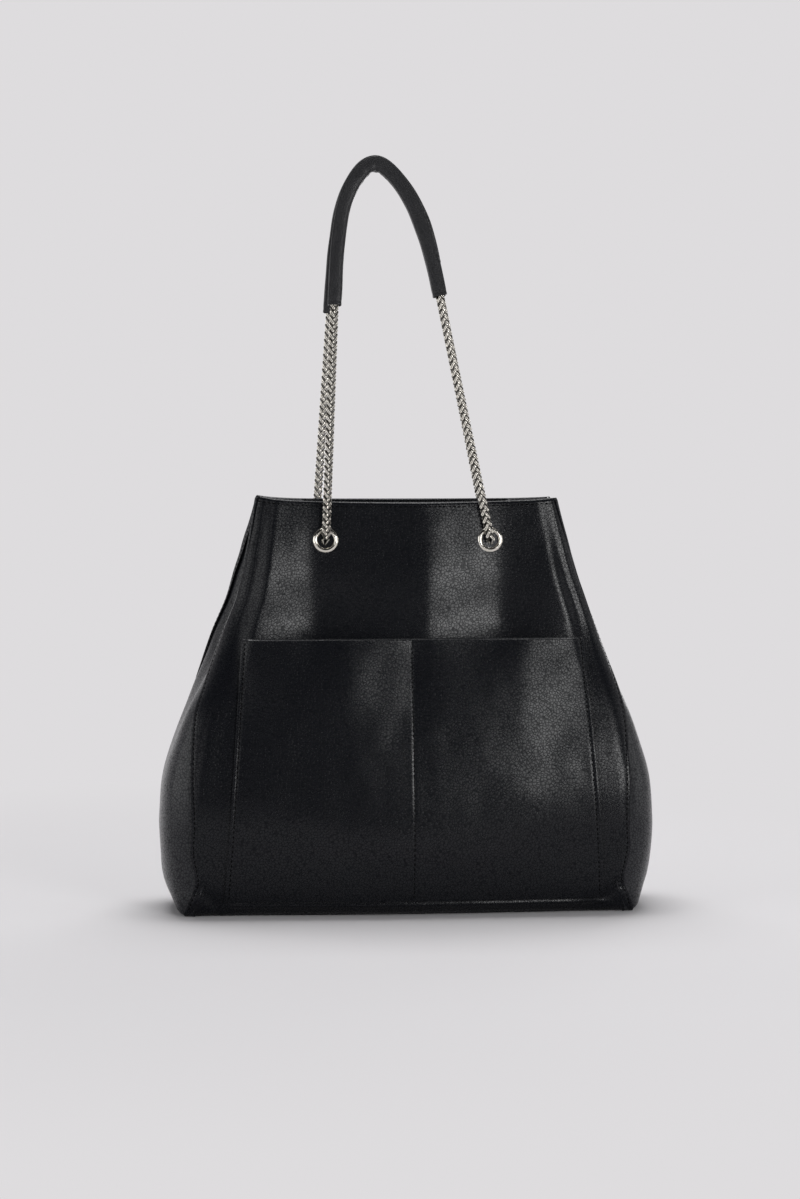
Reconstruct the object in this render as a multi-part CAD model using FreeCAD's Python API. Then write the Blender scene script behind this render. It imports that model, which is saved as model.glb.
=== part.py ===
import FreeCAD
import Part
import math
import os

# Chain shoulder bag: a soft leather shopper with folded-in side gussets, a divided
# patch pocket, four eyelets and two chain straps that run through padded sleeves.
# Millimetres, +Z up, front towards -Y, origin in the middle of the base's underside.

V = FreeCAD.Vector
FRONT = -1
BACK = 1
LEFT = -1
RIGHT = 1
SIDE_NAMES = {FRONT: "front", BACK: "back"}
HAND_NAMES = {LEFT: "left", RIGHT: "right"}
DIAGONAL = math.sqrt(0.5)
FLAT = 1e-6

# Body: width between the gusset seams, depth between the panels' edges, crown of the
# panels, and how far the middle of a gusset stands out (+) or folds in (-)
BODY_HEIGHT = 396.0
BASE_WIDTH = 406.0
BASE_DEPTH = 124.0
BASE_CROWN = 2.0
BASE_SIDE = 14.0
BELLY_HEIGHT = 92.0
BELLY_WIDTH = 416.0
BELLY_DEPTH = 152.0
BELLY_CROWN = 10.0
BELLY_SIDE = 31.0
SHOULDER_HEIGHT = 190.0
SHOULDER_WIDTH = 410.0
SHOULDER_DEPTH = 120.0
SHOULDER_CROWN = 7.0
SHOULDER_SIDE = 14.0
YOKE_DROP = 124.0
YOKE_WIDTH = 360.0
YOKE_SIDE = -14.0
MOUTH_WIDTH = 287.0
MOUTH_DEPTH = 57.0
MOUTH_SIDE = -40.0

# Layers of the wall, from the outside in
LEATHER = 1.8
PLY_GAP = 0.2
STIFFENER = 0.8
STIFFENER_MARGIN = 4.6
HEM = 2.0
FACING = 1.2
FACING_MARGIN = 4.5
LINING = 0.8
LINING_INSET = 6.5
LINING_TAPER = 14.0
BOARD = 2.5

# Patch pocket on the front, sewn down at its sides, its bottom and its middle
POCKET_BOTTOM = 15.0
POCKET_DROP = 8.0
POCKET_BOTTOM_WIDTH = 352.0
POCKET_TOP_WIDTH = 326.0
POCKET_BOTTOM_SLACK = 0.4
POCKET_TOP_SLACK = 9.0
POCKET_SEAT = 0.3
POCKET_SPANS = 5

# Eyelets in the flat band between yoke and mouth, measured down from the mouth
EYELET_DROP = 39.0
EYELET_HOLE = 15.2
EYELET_BARREL = 16.8
EYELET_FLANGE = 25.0
EYELET_RISE = 2.2
EYELET_LIP = 20.6
EYELET_LIP_RISE = 0.7
EYELET_FIT = 0.15
EYELET_WASHER = 0.8
FRONT_EYELET_SPACING = 158.0
BACK_EYELET_SPACING = 170.0

# Chain, and the link at each eyelet that a strap turns on
CHAIN_DIAMETER = 8.0
CHAIN_CLEARANCE = 0.5
INNER_CHAIN_START = 1.0
INNER_CHAIN_SAG = 14.0
INNER_CHAIN_SWING = 8.0
LINK_WIRE = 2.4
LINK_WIDTH = 6.4
EYE_BORE = 3.0
EYE_OUTER = 6.4
EYE_WIDTH = 3.4
EYE_REACH = 7.5

# Routes of the two straps in their own planes: across, and up from the eyelets
FRONT_STRAP_ROUTE = (
    (-FRONT_EYELET_SPACING / 2, 0.0), (-67.0, 285.0), (-60.0, 330.0), (-46.0, 361.0), (-16.0, 361.0),
    (3.0, 330.0), (18.0, 293.0), (28.0, 260.0), (FRONT_EYELET_SPACING / 2, 0.0),
)
BACK_STRAP_ROUTE = (
    (-BACK_EYELET_SPACING / 2, 0.0), (-67.0, 285.0), (-60.0, 331.0), (-47.0, 364.0), (-13.0, 364.0),
    (9.0, 331.0), (24.0, 297.0), (BACK_EYELET_SPACING / 2, 0.0),
)

ARC_SHARE = 0.45

# Padded sleeves on the straps
PAD_WIDTH = 16.0
PAD_THICKNESS = 12.5
PAD_CORNER = 5.0
PAD_WALL = 1.2
PAD_FIT = 0.15
PAD_GAP = 1.2
FRONT_PAD_LEFT_END = 224.0
FRONT_PAD_RIGHT_END = 232.0
BACK_PAD_LEFT_END = 218.0
BACK_PAD_RIGHT_END = 266.0

# Magnetic snap inside the mouth, measured down from it
SNAP_DROP = 22.0
SNAP_DIAMETER = 18.0
SNAP_THICKNESS = 3.2
SNAP_BORE = 5.6
SNAP_STUD = 5.0
SNAP_STUD_LENGTH = 1.8
SNAP_WASHER = 0.6
SNAP_WASHER_DIAMETER = 16.0
SNAP_FIT = 0.3
PRONG_WIDTH = 2.4
PRONG_THICKNESS = 0.8
PRONG_SPACING = 8.0

# Zip pocket in the back lining, measured down from the facing
ZIP_DROP = 34.0
ZIP_LENGTH = 150.0
ZIP_TAPE = 0.8
ZIP_TAPE_WIDTH = 24.0
ZIP_TEETH_WIDTH = 4.0
ZIP_TEETH_RISE = 1.9
ZIP_SLOT_WIDTH = 10.0
ZIP_FIT = 0.3
SLIDER_LENGTH = 9.0
SLIDER_WALL = 1.0
BRIDGE_WIRE = 1.6
BRIDGE_POST = 1.2
PULL_LENGTH = 24.0
PULL_WIDTH = 6.0
PULL_THICKNESS = 1.4
PULL_EYE = 4.0
ZIP_POCKET_WIDTH = 170.0
ZIP_POCKET_DEPTH = 115.0
ZIP_POCKET_THICKNESS = 3.0

# Insets of each layer's faces, measured from the outside of the leather
LEATHER_BACK = LEATHER + PLY_GAP
FACING_FACE = LEATHER_BACK + STIFFENER + PLY_GAP
WALL_STACK = FACING_FACE + FACING
LINING_BACK = LINING_INSET + LINING

# Heights that follow from the mouth: the stiffener and the facing back the eyelets whole
YOKE_HEIGHT = BODY_HEIGHT - YOKE_DROP
POCKET_TOP = YOKE_HEIGHT - POCKET_DROP
EYELET_HEIGHT = BODY_HEIGHT - EYELET_DROP
SNAP_HEIGHT = BODY_HEIGHT - SNAP_DROP
STIFFENER_BOTTOM = EYELET_HEIGHT - EYELET_BARREL / 2 - STIFFENER_MARGIN
FACING_BOTTOM = EYELET_HEIGHT - EYELET_FLANGE / 2 - FACING_MARGIN
ZIP_HEIGHT = FACING_BOTTOM - ZIP_DROP

# The flat bands lean so far that the two straps meet, pad beside pad, at the top
PIVOT_OFFSET = EYELET_RISE + CHAIN_CLEARANCE + CHAIN_DIAMETER / 2
STRAP_TOP = max(up for across, up in FRONT_STRAP_ROUTE + BACK_STRAP_ROUTE)
STRAP_ABOVE_MOUTH = STRAP_TOP - EYELET_DROP
STRAP_INWARD = MOUTH_DEPTH / 2 - (PAD_WIDTH + PAD_GAP) / 2
LEAN = math.atan2(PIVOT_OFFSET, STRAP_ABOVE_MOUTH)
LEAN += math.asin(STRAP_INWARD / math.hypot(STRAP_ABOVE_MOUTH, PIVOT_OFFSET))
YOKE_DEPTH = MOUTH_DEPTH + 2 * YOKE_DROP * math.tan(LEAN)

STATIONS = (
    (0.0, BASE_WIDTH, BASE_DEPTH, BASE_CROWN, BASE_SIDE),
    (BELLY_HEIGHT, BELLY_WIDTH, BELLY_DEPTH, BELLY_CROWN, BELLY_SIDE),
    (SHOULDER_HEIGHT, SHOULDER_WIDTH, SHOULDER_DEPTH, SHOULDER_CROWN, SHOULDER_SIDE),
    (YOKE_HEIGHT, YOKE_WIDTH, YOKE_DEPTH, 0.0, YOKE_SIDE),
    (BODY_HEIGHT, MOUTH_WIDTH, MOUTH_DEPTH, 0.0, MOUTH_SIDE),
)
POCKET_LEVELS = [
    POCKET_BOTTOM + (POCKET_TOP - POCKET_BOTTOM) * step / POCKET_SPANS for step in range(POCKET_SPANS + 1)
]
WALL_LEVELS = [0.0] + POCKET_LEVELS + [YOKE_HEIGHT, BODY_HEIGHT]


def slope(rows, index, column):
    """Rate of change of one measure at a station; the ends take that of their own span"""
    if index == 0:
        low, high = rows[0], rows[1]
    elif index >= len(rows) - 2:
        low, high = rows[-2], rows[-1]
    else:
        low, high = rows[index - 1], rows[index + 1]
    return (high[column] - low[column]) / (high[0] - low[0])


def smooth_measures(height):
    """Width, depth, crown and side reach of the body at a height, smooth between stations"""
    index = 0
    while index < len(STATIONS) - 2 and height > STATIONS[index + 1][0]:
        index += 1
    low, high = STATIONS[index], STATIONS[index + 1]
    span = high[0] - low[0]
    t = (height - low[0]) / span
    result = []
    for column in range(1, 5):
        leave = slope(STATIONS, index, column) * span
        arrive = slope(STATIONS, index + 1, column) * span
        value = low[column] * (2 * t**3 - 3 * t**2 + 1) + high[column] * (3 * t**2 - 2 * t**3)
        value += leave * (t**3 - 2 * t**2 + t) + arrive * (t**3 - t**2)
        result.append(value)
    return result


def measures(height):
    """The same measures as the lofted walls have them, straight from level to level"""
    index = 0
    while index < len(WALL_LEVELS) - 2 and height > WALL_LEVELS[index + 1]:
        index += 1
    low, high = WALL_LEVELS[index], WALL_LEVELS[index + 1]
    share = (height - low) / (high - low)
    pairs = zip(smooth_measures(low), smooth_measures(high))
    return [below + (above - below) * share for below, above in pairs]


def edge_through(start, middle, end):
    """Arc through three points, or a line where they lie on one"""
    if (middle - start).cross(end - middle).Length < FLAT:
        return Part.makeLine(start, end)
    return Part.Arc(start, middle, end).toShape()


def gusset_across(height, start, inset):
    """Half width at a gusset's face, on the line that lies that far in from the panels' outside"""
    width, depth, crown, reach = measures(height)
    run = depth / 2 - LEATHER_BACK
    share = (start - LEATHER_BACK) / run
    bow = share if reach < 0 else 2 * share - share**2
    return width / 2 + reach * bow - inset * math.hypot(1, reach / run)


def panel_points(side, height, inset, limit):
    """Two ends and the middle of a front or back layer's line, from left to right. The leather
    laps over the gussets' edges; the other layers stop a limit short of the gussets' outside."""
    width, depth, crown, reach = measures(height)
    across = width / 2 if limit is None else gusset_across(height, inset, limit)
    out = depth / 2 - inset
    return V(-across, side * out, height), V(0, side * (out + crown), height), V(across, side * out, height)


def gusset_points(hand, height, inset, start):
    """Front end, front quarter, middle, back quarter and back end of a gusset layer's line"""
    depth = measures(height)[1]
    outs = [depth / 2 - start, (depth / 2 - start) / 2, 0.0]
    half = [(hand * gusset_across(height, depth / 2 - out, inset), out) for out in outs]
    front = [V(across, -out, height) for across, out in half]
    back = [V(across, out, height) for across, out in half]
    return front + back[1::-1]


def panel_edges(side, height, inset, limit):
    return [edge_through(*panel_points(side, height, inset, limit))]


def gusset_edges(hand, height, inset, start):
    points = gusset_points(hand, height, inset, start)
    return [edge_through(*points[0:3]), edge_through(*points[2:5])]


def ring(outer, inner):
    """Closed wire round a wall's section, given the edges of its two faces in the same order"""
    start = Part.makeLine(inner[0].firstVertex().Point, outer[0].firstVertex().Point)
    end = Part.makeLine(outer[-1].lastVertex().Point, inner[-1].lastVertex().Point)
    return Part.Wire(Part.__sortEdges__([start] + outer + [end] + inner[::-1]))


def loft(wires):
    solid = Part.makeLoft(wires, True, True)
    if solid.Volume < 0:
        solid.reverse()
    return solid


def wall(edges, which, rows):
    """Wall between two insets; rows hold a height, the two insets and where the layer ends"""
    sections = []
    for height, outer, inner, limit in rows:
        sections.append(ring(edges(which, height, outer, limit), edges(which, height, inner, limit)))
    return loft(sections)


def even_rows(levels, outer, inner, limit):
    return [(height, outer, inner, limit) for height in levels]


def flat_point(side, across, height, outwards=0.0):
    """Point on the outside of a flat band between yoke and mouth, or that far off it"""
    out = MOUTH_DEPTH / 2 + (BODY_HEIGHT - height) * math.tan(LEAN)
    return V(across, side * out, height) + normal(side) * outwards


def normal(side):
    return V(0, side * math.cos(LEAN), math.sin(LEAN))


def upslope(side):
    return V(0, -side * math.sin(LEAN), math.cos(LEAN))


def face_offset(inset):
    """Distance of a layer's face from the outside of the leather, along the normal"""
    return -inset * math.cos(LEAN)


def seat(shape, side, across, height, inwards=False):
    """Places a shape made round +Z on a flat band, with +Z along the normal or against it"""
    axis = normal(side) * (-1 if inwards else 1)
    turn = FreeCAD.Rotation(V(1, 0, 0), V(0, 0, 0), axis, "ZXY")
    shape.Placement = FreeCAD.Placement(flat_point(side, across, height), turn)
    return shape


def block(length, width, low, high, x=0.0, y=0.0):
    return Part.makeBox(length, width, high - low, V(x - length / 2, y - width / 2, low))


def drum(diameter, low, high):
    return Part.makeCylinder(diameter / 2, high - low, V(0, 0, low))


def bar(start, end, diameter):
    return Part.makeCylinder(diameter / 2, (end - start).Length, start, end - start)


def eyelet_places(side):
    spacing = FRONT_EYELET_SPACING if side == FRONT else BACK_EYELET_SPACING
    return {hand: hand * spacing / 2 for hand in (LEFT, RIGHT)}


def pierced(solid, side):
    """Cuts the eyelets' holes through a layer of a front or back wall"""
    reach = EYELET_FLANGE / 2
    for across in eyelet_places(side).values():
        hole = drum(EYELET_BARREL + 2 * EYELET_FIT, -reach, reach)
        solid = solid.cut(seat(hole, side, across, EYELET_HEIGHT))
    return solid


def prongs(low, high, clearance=0.0):
    """The two tabs that hold a half of the snap"""
    width = PRONG_WIDTH + 2 * clearance
    thickness = PRONG_THICKNESS + 2 * clearance
    tabs = [block(width, thickness, low, high, y=hand * PRONG_SPACING / 2) for hand in (LEFT, RIGHT)]
    return tabs[0].fuse(tabs[1])


def leather_panel(side):
    return pierced(wall(panel_edges, side, even_rows(WALL_LEVELS, 0.0, LEATHER, None)), side)


def leather_gusset(hand):
    return wall(gusset_edges, hand, even_rows(WALL_LEVELS, 0.0, LEATHER, LEATHER_BACK))


def stiffener(side):
    """Strip between leather and facing, cut out round the snap's washer"""
    levels = (STIFFENER_BOTTOM, BODY_HEIGHT - HEM)
    rows = even_rows(levels, LEATHER_BACK, LEATHER_BACK + STIFFENER, LEATHER_BACK)
    strip = pierced(wall(panel_edges, side, rows), side)
    room = drum(SNAP_WASHER_DIAMETER + 2 * SNAP_FIT, -SNAP_DIAMETER, SNAP_DIAMETER)
    return strip.cut(seat(room, side, 0.0, SNAP_HEIGHT))


def facing(side):
    rows = even_rows((FACING_BOTTOM, BODY_HEIGHT), FACING_FACE, WALL_STACK, LEATHER_BACK)
    strip = wall(panel_edges, side, rows)
    slits = prongs(-SNAP_DIAMETER, SNAP_DIAMETER, EYELET_FIT)
    return pierced(strip, side).cut(seat(slits, side, 0.0, SNAP_HEIGHT))


def gusset_facing(hand):
    levels = (FACING_BOTTOM, BODY_HEIGHT)
    rows = even_rows(levels, LEATHER_BACK, LEATHER_BACK + FACING, WALL_STACK + PLY_GAP)
    return wall(gusset_edges, hand, rows)


BASE_STACK = LEATHER + PLY_GAP + BOARD + PLY_GAP
LINING_LEVELS = [BASE_STACK] + POCKET_LEVELS + [YOKE_HEIGHT, FACING_BOTTOM - LINING_TAPER]


def lining_panel(side):
    """Hangs clear of the leather and comes out to the facing's lower edge"""
    rows = even_rows(LINING_LEVELS, LINING_INSET, LINING_BACK, LINING_INSET)
    rows.append((FACING_BOTTOM, FACING_FACE, FACING_FACE + LINING, LEATHER_BACK))
    cloth = wall(panel_edges, side, rows)
    if side == BACK:
        slot = block(ZIP_LENGTH + ZIP_SLOT_WIDTH, ZIP_SLOT_WIDTH, 0, 2 * LINING_BACK)
        cloth = cloth.cut(seat(slot, side, 0.0, ZIP_HEIGHT, inwards=True))
    return cloth


def lining_gusset(hand):
    rows = even_rows(LINING_LEVELS, LINING_INSET, LINING_BACK, LINING_BACK + PLY_GAP)
    rows.append((FACING_BOTTOM, LEATHER_BACK, LEATHER_BACK + LINING, WALL_STACK + PLY_GAP))
    return wall(gusset_edges, hand, rows)


def base_plate(inset, low, thickness):
    """Flat piece of the base's outline, made smaller all round by the inset"""
    edges = []
    for side in (FRONT, BACK):
        edges += panel_edges(side, 0.0, inset, inset)
    for hand in (LEFT, RIGHT):
        edges += gusset_edges(hand, 0.0, inset, inset)
    plate = Part.Face(Part.Wire(Part.__sortEdges__(edges))).extrude(V(0, 0, thickness))
    plate.translate(V(0, 0, low))
    return plate


def panel_out(height, across):
    """How far the front stands out from the middle plane at a place on it"""
    width, depth, crown, reach = measures(height)
    if crown < FLAT:
        return depth / 2
    radius = (width**2 / 4 + crown**2) / (2 * crown)
    return depth / 2 + crown - radius + math.sqrt(radius**2 - across**2)


def pocket_edges(half, height, lift):
    """Line of the patch from edge to edge: two slack arcs, sewn down in the middle"""
    share = (height - POCKET_BOTTOM) / (POCKET_TOP - POCKET_BOTTOM)
    slack = POCKET_BOTTOM_SLACK + (POCKET_TOP_SLACK - POCKET_BOTTOM_SLACK) * share
    stops = ((-half, 0.0), (-half / 2, slack), (0.0, 0.0), (half / 2, slack), (half, 0.0))
    points = [V(x, -panel_out(height, x) - lift - extra, height) for x, extra in stops]
    return [edge_through(*points[0:3]), edge_through(*points[2:5])]


def front_pocket():
    wires = []
    for height in POCKET_LEVELS:
        share = (height - POCKET_BOTTOM) / (POCKET_TOP - POCKET_BOTTOM)
        half = (POCKET_BOTTOM_WIDTH + (POCKET_TOP_WIDTH - POCKET_BOTTOM_WIDTH) * share) / 2
        outside = pocket_edges(half, height, POCKET_SEAT + LEATHER)
        wires.append(ring(outside, pocket_edges(half, height, POCKET_SEAT)))
    return loft(wires)


WASHER_LOW = face_offset(WALL_STACK) - EYELET_WASHER


def eyelet():
    """Domed flange outside, barrel through the wall, and a lip rolled over the washer"""
    hole, barrel, flange, lip = (d / 2 for d in (EYELET_HOLE, EYELET_BARREL, EYELET_FLANGE, EYELET_LIP))
    low = WASHER_LOW - EYELET_LIP_RISE
    middle = (hole + flange) / 2
    rim, crest = V(hole, 0, EYELET_RISE / 2), V(middle, 0, EYELET_RISE)
    inner_curve = V(middle - (middle - hole) * DIAGONAL, 0, (1 + DIAGONAL) * EYELET_RISE / 2)
    outer_curve = V(middle + (flange - middle) * DIAGONAL, 0, DIAGONAL * EYELET_RISE)
    profile = [
        Part.makeLine(V(hole, 0, low), rim),
        edge_through(rim, inner_curve, crest),
        edge_through(crest, outer_curve, V(flange, 0, 0)),
        Part.makeLine(V(flange, 0, 0), V(barrel, 0, 0)),
        Part.makeLine(V(barrel, 0, 0), V(barrel, 0, WASHER_LOW)),
        Part.makeLine(V(barrel, 0, WASHER_LOW), V(lip, 0, WASHER_LOW)),
        Part.makeLine(V(lip, 0, WASHER_LOW), V(barrel, 0, low)),
        Part.makeLine(V(barrel, 0, low), V(hole, 0, low)),
    ]
    return Part.Face(Part.Wire(profile)).revolve(V(0, 0, 0), V(0, 0, 1), 360)


def eyelet_washer():
    plate = drum(EYELET_FLANGE - 2 * EYELET_FIT, WASHER_LOW, face_offset(WALL_STACK))
    return plate.cut(drum(EYELET_BARREL + 2 * EYELET_FIT, -EYELET_FLANGE, EYELET_FLANGE))


def rounded_path(points, start=None, end=None):
    """Straight runs joined by tangent arcs as large as their runs allow; start and end
    may lie further along the first and last runs. Returns the wire and the radii."""
    edges, radii = [], []
    at_end = start or points[0]
    for before, corner, after in zip(points, points[1:], points[2:]):
        into, out = corner - before, after - corner
        turn = into.getAngle(out)
        reach = ARC_SHARE * min(into.Length, out.Length)
        radius = reach / math.tan(turn / 2)
        into.normalize()
        out.normalize()
        bisector = (out - into).normalize()
        middle = corner + bisector * (radius / math.cos(turn / 2) - radius)
        edges.append(Part.makeLine(at_end, corner - into * reach))
        at_end = corner + out * reach
        edges.append(Part.Arc(corner - into * reach, middle, at_end).toShape())
        radii.append(round(radius, 1))
    edges.append(Part.makeLine(at_end, end or points[-1]))
    return Part.Wire(edges), radii


def sweep(path, section):
    shell = path.makePipeShell([section], True, False)
    solid = Part.Solid(shell) if shell.ShapeType == "Shell" else shell
    if solid.Volume < 0:
        solid.reverse()
    return solid


def path_ends(path):
    """Start point and the direction in which the path leaves it"""
    start = path.Edges[0].firstVertex().Point
    return start, path.Edges[0].lastVertex().Point - start


def tube(path, diameter):
    start, direction = path_ends(path)
    return sweep(path, Part.Wire(Part.makeCircle(diameter / 2, start, direction)))


def strap_route(side):
    return FRONT_STRAP_ROUTE if side == FRONT else BACK_STRAP_ROUTE


def strap_points(side):
    pivot = flat_point(side, 0.0, EYELET_HEIGHT, PIVOT_OFFSET)
    return [pivot + V(across, 0, 0) + upslope(side) * up for across, up in strap_route(side)]


def along(start, end, distance):
    return start + (end - start).normalize() * distance


def at_height_up(side, start, end, up):
    """Point of a run, given how far up the strap's plane it lies"""
    pivot = flat_point(side, 0.0, EYELET_HEIGHT, PIVOT_OFFSET)
    low = (start - pivot).dot(upslope(side))
    high = (end - pivot).dot(upslope(side))
    return start + (end - start) * ((up - low) / (high - low))


def strap_eye(pivot, towards):
    """Eye that turns on a link's bar, with the neck that joins it to the chain"""
    half = V(EYE_WIDTH / 2, 0, 0)
    neck = bar(pivot, along(pivot, towards, EYE_REACH + LINK_WIRE), EYE_WIDTH)
    eye = bar(pivot - half, pivot + half, EYE_OUTER).fuse(neck)
    return eye.cut(bar(pivot - half * 2, pivot + half * 2, EYE_BORE))


def strap_chain(side):
    """Chain from eyelet to eyelet through the sleeve, with an eye at each end"""
    points = strap_points(side)
    start = along(points[0], points[1], EYE_REACH)
    end = along(points[-1], points[-2], EYE_REACH)
    path, radii = rounded_path(points, start, end)
    chain = tube(path, CHAIN_DIAMETER)
    plain_volume = path.Length * math.pi * CHAIN_DIAMETER**2 / 4
    print(SIDE_NAMES[side], "strap radii", radii, "length %.1f" % path.Length)
    print("  volume over section times length %.4f" % (chain.Volume / plain_volume))
    return chain.fuse([strap_eye(points[0], points[1]), strap_eye(points[-1], points[-2])])


def pad_section(path, shrink):
    """Rounded section of the sleeve, square to the path and wider across the strap's plane"""
    start, direction = path_ends(path)
    corner = PAD_CORNER - shrink
    half_thick = PAD_THICKNESS / 2 - shrink
    half_wide = PAD_WIDTH / 2 - shrink
    bevel = corner * (1 - DIAGONAL)
    edges = []
    for turn_x, turn_y in ((1, 1), (-1, 1), (-1, -1), (1, -1)):
        on_side = V(turn_x * half_thick, turn_y * (half_wide - corner), 0)
        on_curve = V(turn_x * (half_thick - bevel), turn_y * (half_wide - bevel), 0)
        on_edge = V(turn_x * (half_thick - corner), turn_y * half_wide, 0)
        edges.append((on_side, on_curve, on_edge) if turn_x * turn_y > 0 else (on_edge, on_curve, on_side))
    pieces = []
    for index, (first, middle, last) in enumerate(edges):
        pieces.append(Part.Arc(first, middle, last).toShape())
        pieces.append(Part.makeLine(last, edges[(index + 1) % 4][0]))
    section = Part.Wire(pieces)
    across = direction.cross(V(1, 0, 0))
    turn = FreeCAD.Rotation(V(0, 0, 0), across, direction, "ZYX")
    section.Placement = FreeCAD.Placement(start, turn)
    return section


def pad_path(side):
    points = strap_points(side)
    left = FRONT_PAD_LEFT_END if side == FRONT else BACK_PAD_LEFT_END
    right = FRONT_PAD_RIGHT_END if side == FRONT else BACK_PAD_RIGHT_END
    start = at_height_up(side, points[0], points[1], left)
    end = at_height_up(side, points[-1], points[-2], right)
    return rounded_path(points, start, end)[0]


def shoulder_pad(side):
    path = pad_path(side)
    return sweep(path, pad_section(path, 0.0)).cut(sweep(path, pad_section(path, PAD_WALL)))


def pad_foam(side):
    path = pad_path(side)
    return sweep(path, pad_section(path, PAD_WALL + PAD_FIT)).cut(tube(path, CHAIN_DIAMETER + 2 * PAD_FIT))


def link(side, across):
    """Link that stands out of an eyelet and carries a strap's eye on its cross bar"""
    pivot = flat_point(side, across, EYELET_HEIGHT, PIVOT_OFFSET)
    half = V(LINK_WIDTH / 2, 0, 0)
    root = normal(side) * -PIVOT_OFFSET
    pieces = [bar(pivot + half * hand, pivot + half * hand + root, LINK_WIRE) for hand in (LEFT, RIGHT)]
    pieces += [Part.makeSphere(LINK_WIRE / 2, pivot + half * hand) for hand in (LEFT, RIGHT)]
    return bar(pivot - half, pivot + half, LINK_WIRE).fuse(pieces)


def inner_chain(hand):
    """Slack run of the chain inside the mouth, from a front eyelet to the back one"""
    places = {side: eyelet_places(side)[hand] for side in (FRONT, BACK)}
    ends = [flat_point(side, places[side], EYELET_HEIGHT, INNER_CHAIN_START) for side in (FRONT, BACK)]
    middle = (ends[0] + ends[1]) / 2 + V(hand * INNER_CHAIN_SWING, 0, -INNER_CHAIN_SAG)
    path, radii = rounded_path([ends[0], middle, ends[1]])
    print(HAND_NAMES[hand], "inner chain radii", radii, "length %.1f" % path.Length)
    return tube(path, CHAIN_DIAMETER).fuse([link(side, places[side]) for side in (FRONT, BACK)])


SNAP_SEAT = -face_offset(WALL_STACK)
SNAP_WASHER_TOP = -face_offset(LEATHER_BACK) + SNAP_WASHER


def snap_half(side):
    """Disc on the facing: a socket in front and a stud behind, with prongs through the wall"""
    body = drum(SNAP_DIAMETER, SNAP_SEAT, SNAP_SEAT + SNAP_THICKNESS)
    if side == FRONT:
        floor = SNAP_SEAT + SNAP_THICKNESS - SNAP_STUD_LENGTH - SNAP_FIT
        body = body.cut(drum(SNAP_BORE, floor, 2 * SNAP_DIAMETER))
    else:
        body = body.fuse(drum(SNAP_STUD, SNAP_SEAT, SNAP_SEAT + SNAP_THICKNESS + SNAP_STUD_LENGTH))
    return body.fuse(prongs(SNAP_WASHER_TOP - SNAP_WASHER, SNAP_SEAT + SNAP_THICKNESS / 2))


def snap_washer():
    plate = drum(SNAP_WASHER_DIAMETER, SNAP_WASHER_TOP - SNAP_WASHER, SNAP_WASHER_TOP)
    return plate.cut(prongs(-SNAP_DIAMETER, SNAP_DIAMETER, EYELET_FIT))


# Heights of the zip's pieces above the outside of the back leather, going inwards
TAPE_TOP = -face_offset(LINING_INSET) - PLY_GAP
TAPE_LOW = TAPE_TOP - ZIP_TAPE
TEETH_TOP = TAPE_TOP + ZIP_TEETH_RISE
SLIDER_LOW = TAPE_TOP + ZIP_FIT
SLIDER_TOP = TEETH_TOP + ZIP_FIT + SLIDER_WALL
BRIDGE_AXIS = SLIDER_TOP + PULL_EYE / 2 + ZIP_FIT
SLIDER_START = -(ZIP_LENGTH - SLIDER_LENGTH) / 2


def zip_tape():
    return block(ZIP_LENGTH + ZIP_TAPE_WIDTH, ZIP_TAPE_WIDTH, TAPE_LOW, TAPE_TOP)


def zip_teeth():
    return block(ZIP_LENGTH, ZIP_TEETH_WIDTH, TAPE_TOP, TEETH_TOP)


def zip_slider():
    """Channel over the teeth, with a bridge for the pull"""
    channel = ZIP_TEETH_WIDTH + 2 * ZIP_FIT
    body = block(SLIDER_LENGTH, channel + 2 * SLIDER_WALL, SLIDER_LOW, SLIDER_TOP)
    body = body.cut(block(2 * SLIDER_LENGTH, channel, TAPE_LOW, TEETH_TOP + ZIP_FIT))
    ends = [hand * (SLIDER_LENGTH - BRIDGE_POST) / 2 for hand in (LEFT, RIGHT)]
    posts = [block(BRIDGE_POST, BRIDGE_WIRE, SLIDER_TOP, BRIDGE_AXIS + BRIDGE_WIRE / 2, x=x) for x in ends]
    bridge = bar(V(ends[0], 0, BRIDGE_AXIS), V(ends[1], 0, BRIDGE_AXIS), BRIDGE_WIRE)
    return body.fuse(posts + [bridge])


def zip_pull():
    """Tab that hangs plumb from the slider's bridge"""
    pivot = flat_point(BACK, SLIDER_START, ZIP_HEIGHT, -BRIDGE_AXIS)
    half = V(PULL_WIDTH / 2, 0, 0)
    tab = Part.makeBox(
        PULL_WIDTH, PULL_THICKNESS, PULL_LENGTH, pivot - half - V(0, PULL_THICKNESS / 2, PULL_LENGTH)
    )
    eye = bar(pivot - half, pivot + half, PULL_EYE).fuse(tab)
    print("zip pull pivot", [round(value, 3) for value in pivot])
    return eye.cut(bar(pivot - half * 2, pivot + half * 2, BRIDGE_WIRE + 2 * ZIP_FIT))


def zip_pocket_bag():
    """Flat cloth bag that hangs behind the back lining, under the zip"""
    top = ZIP_HEIGHT + ZIP_TAPE_WIDTH / 2
    low = top - ZIP_POCKET_DEPTH
    levels = [low] + [height for height in WALL_LEVELS if low < height < top] + [top]
    inner = TAPE_LOW / math.cos(LEAN) - ZIP_FIT
    slab = wall(panel_edges, BACK, even_rows(levels, inner - ZIP_POCKET_THICKNESS, inner, inner))
    return slab.common(block(ZIP_POCKET_WIDTH, 2 * BELLY_DEPTH, 0.0, BODY_HEIGHT))


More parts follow.
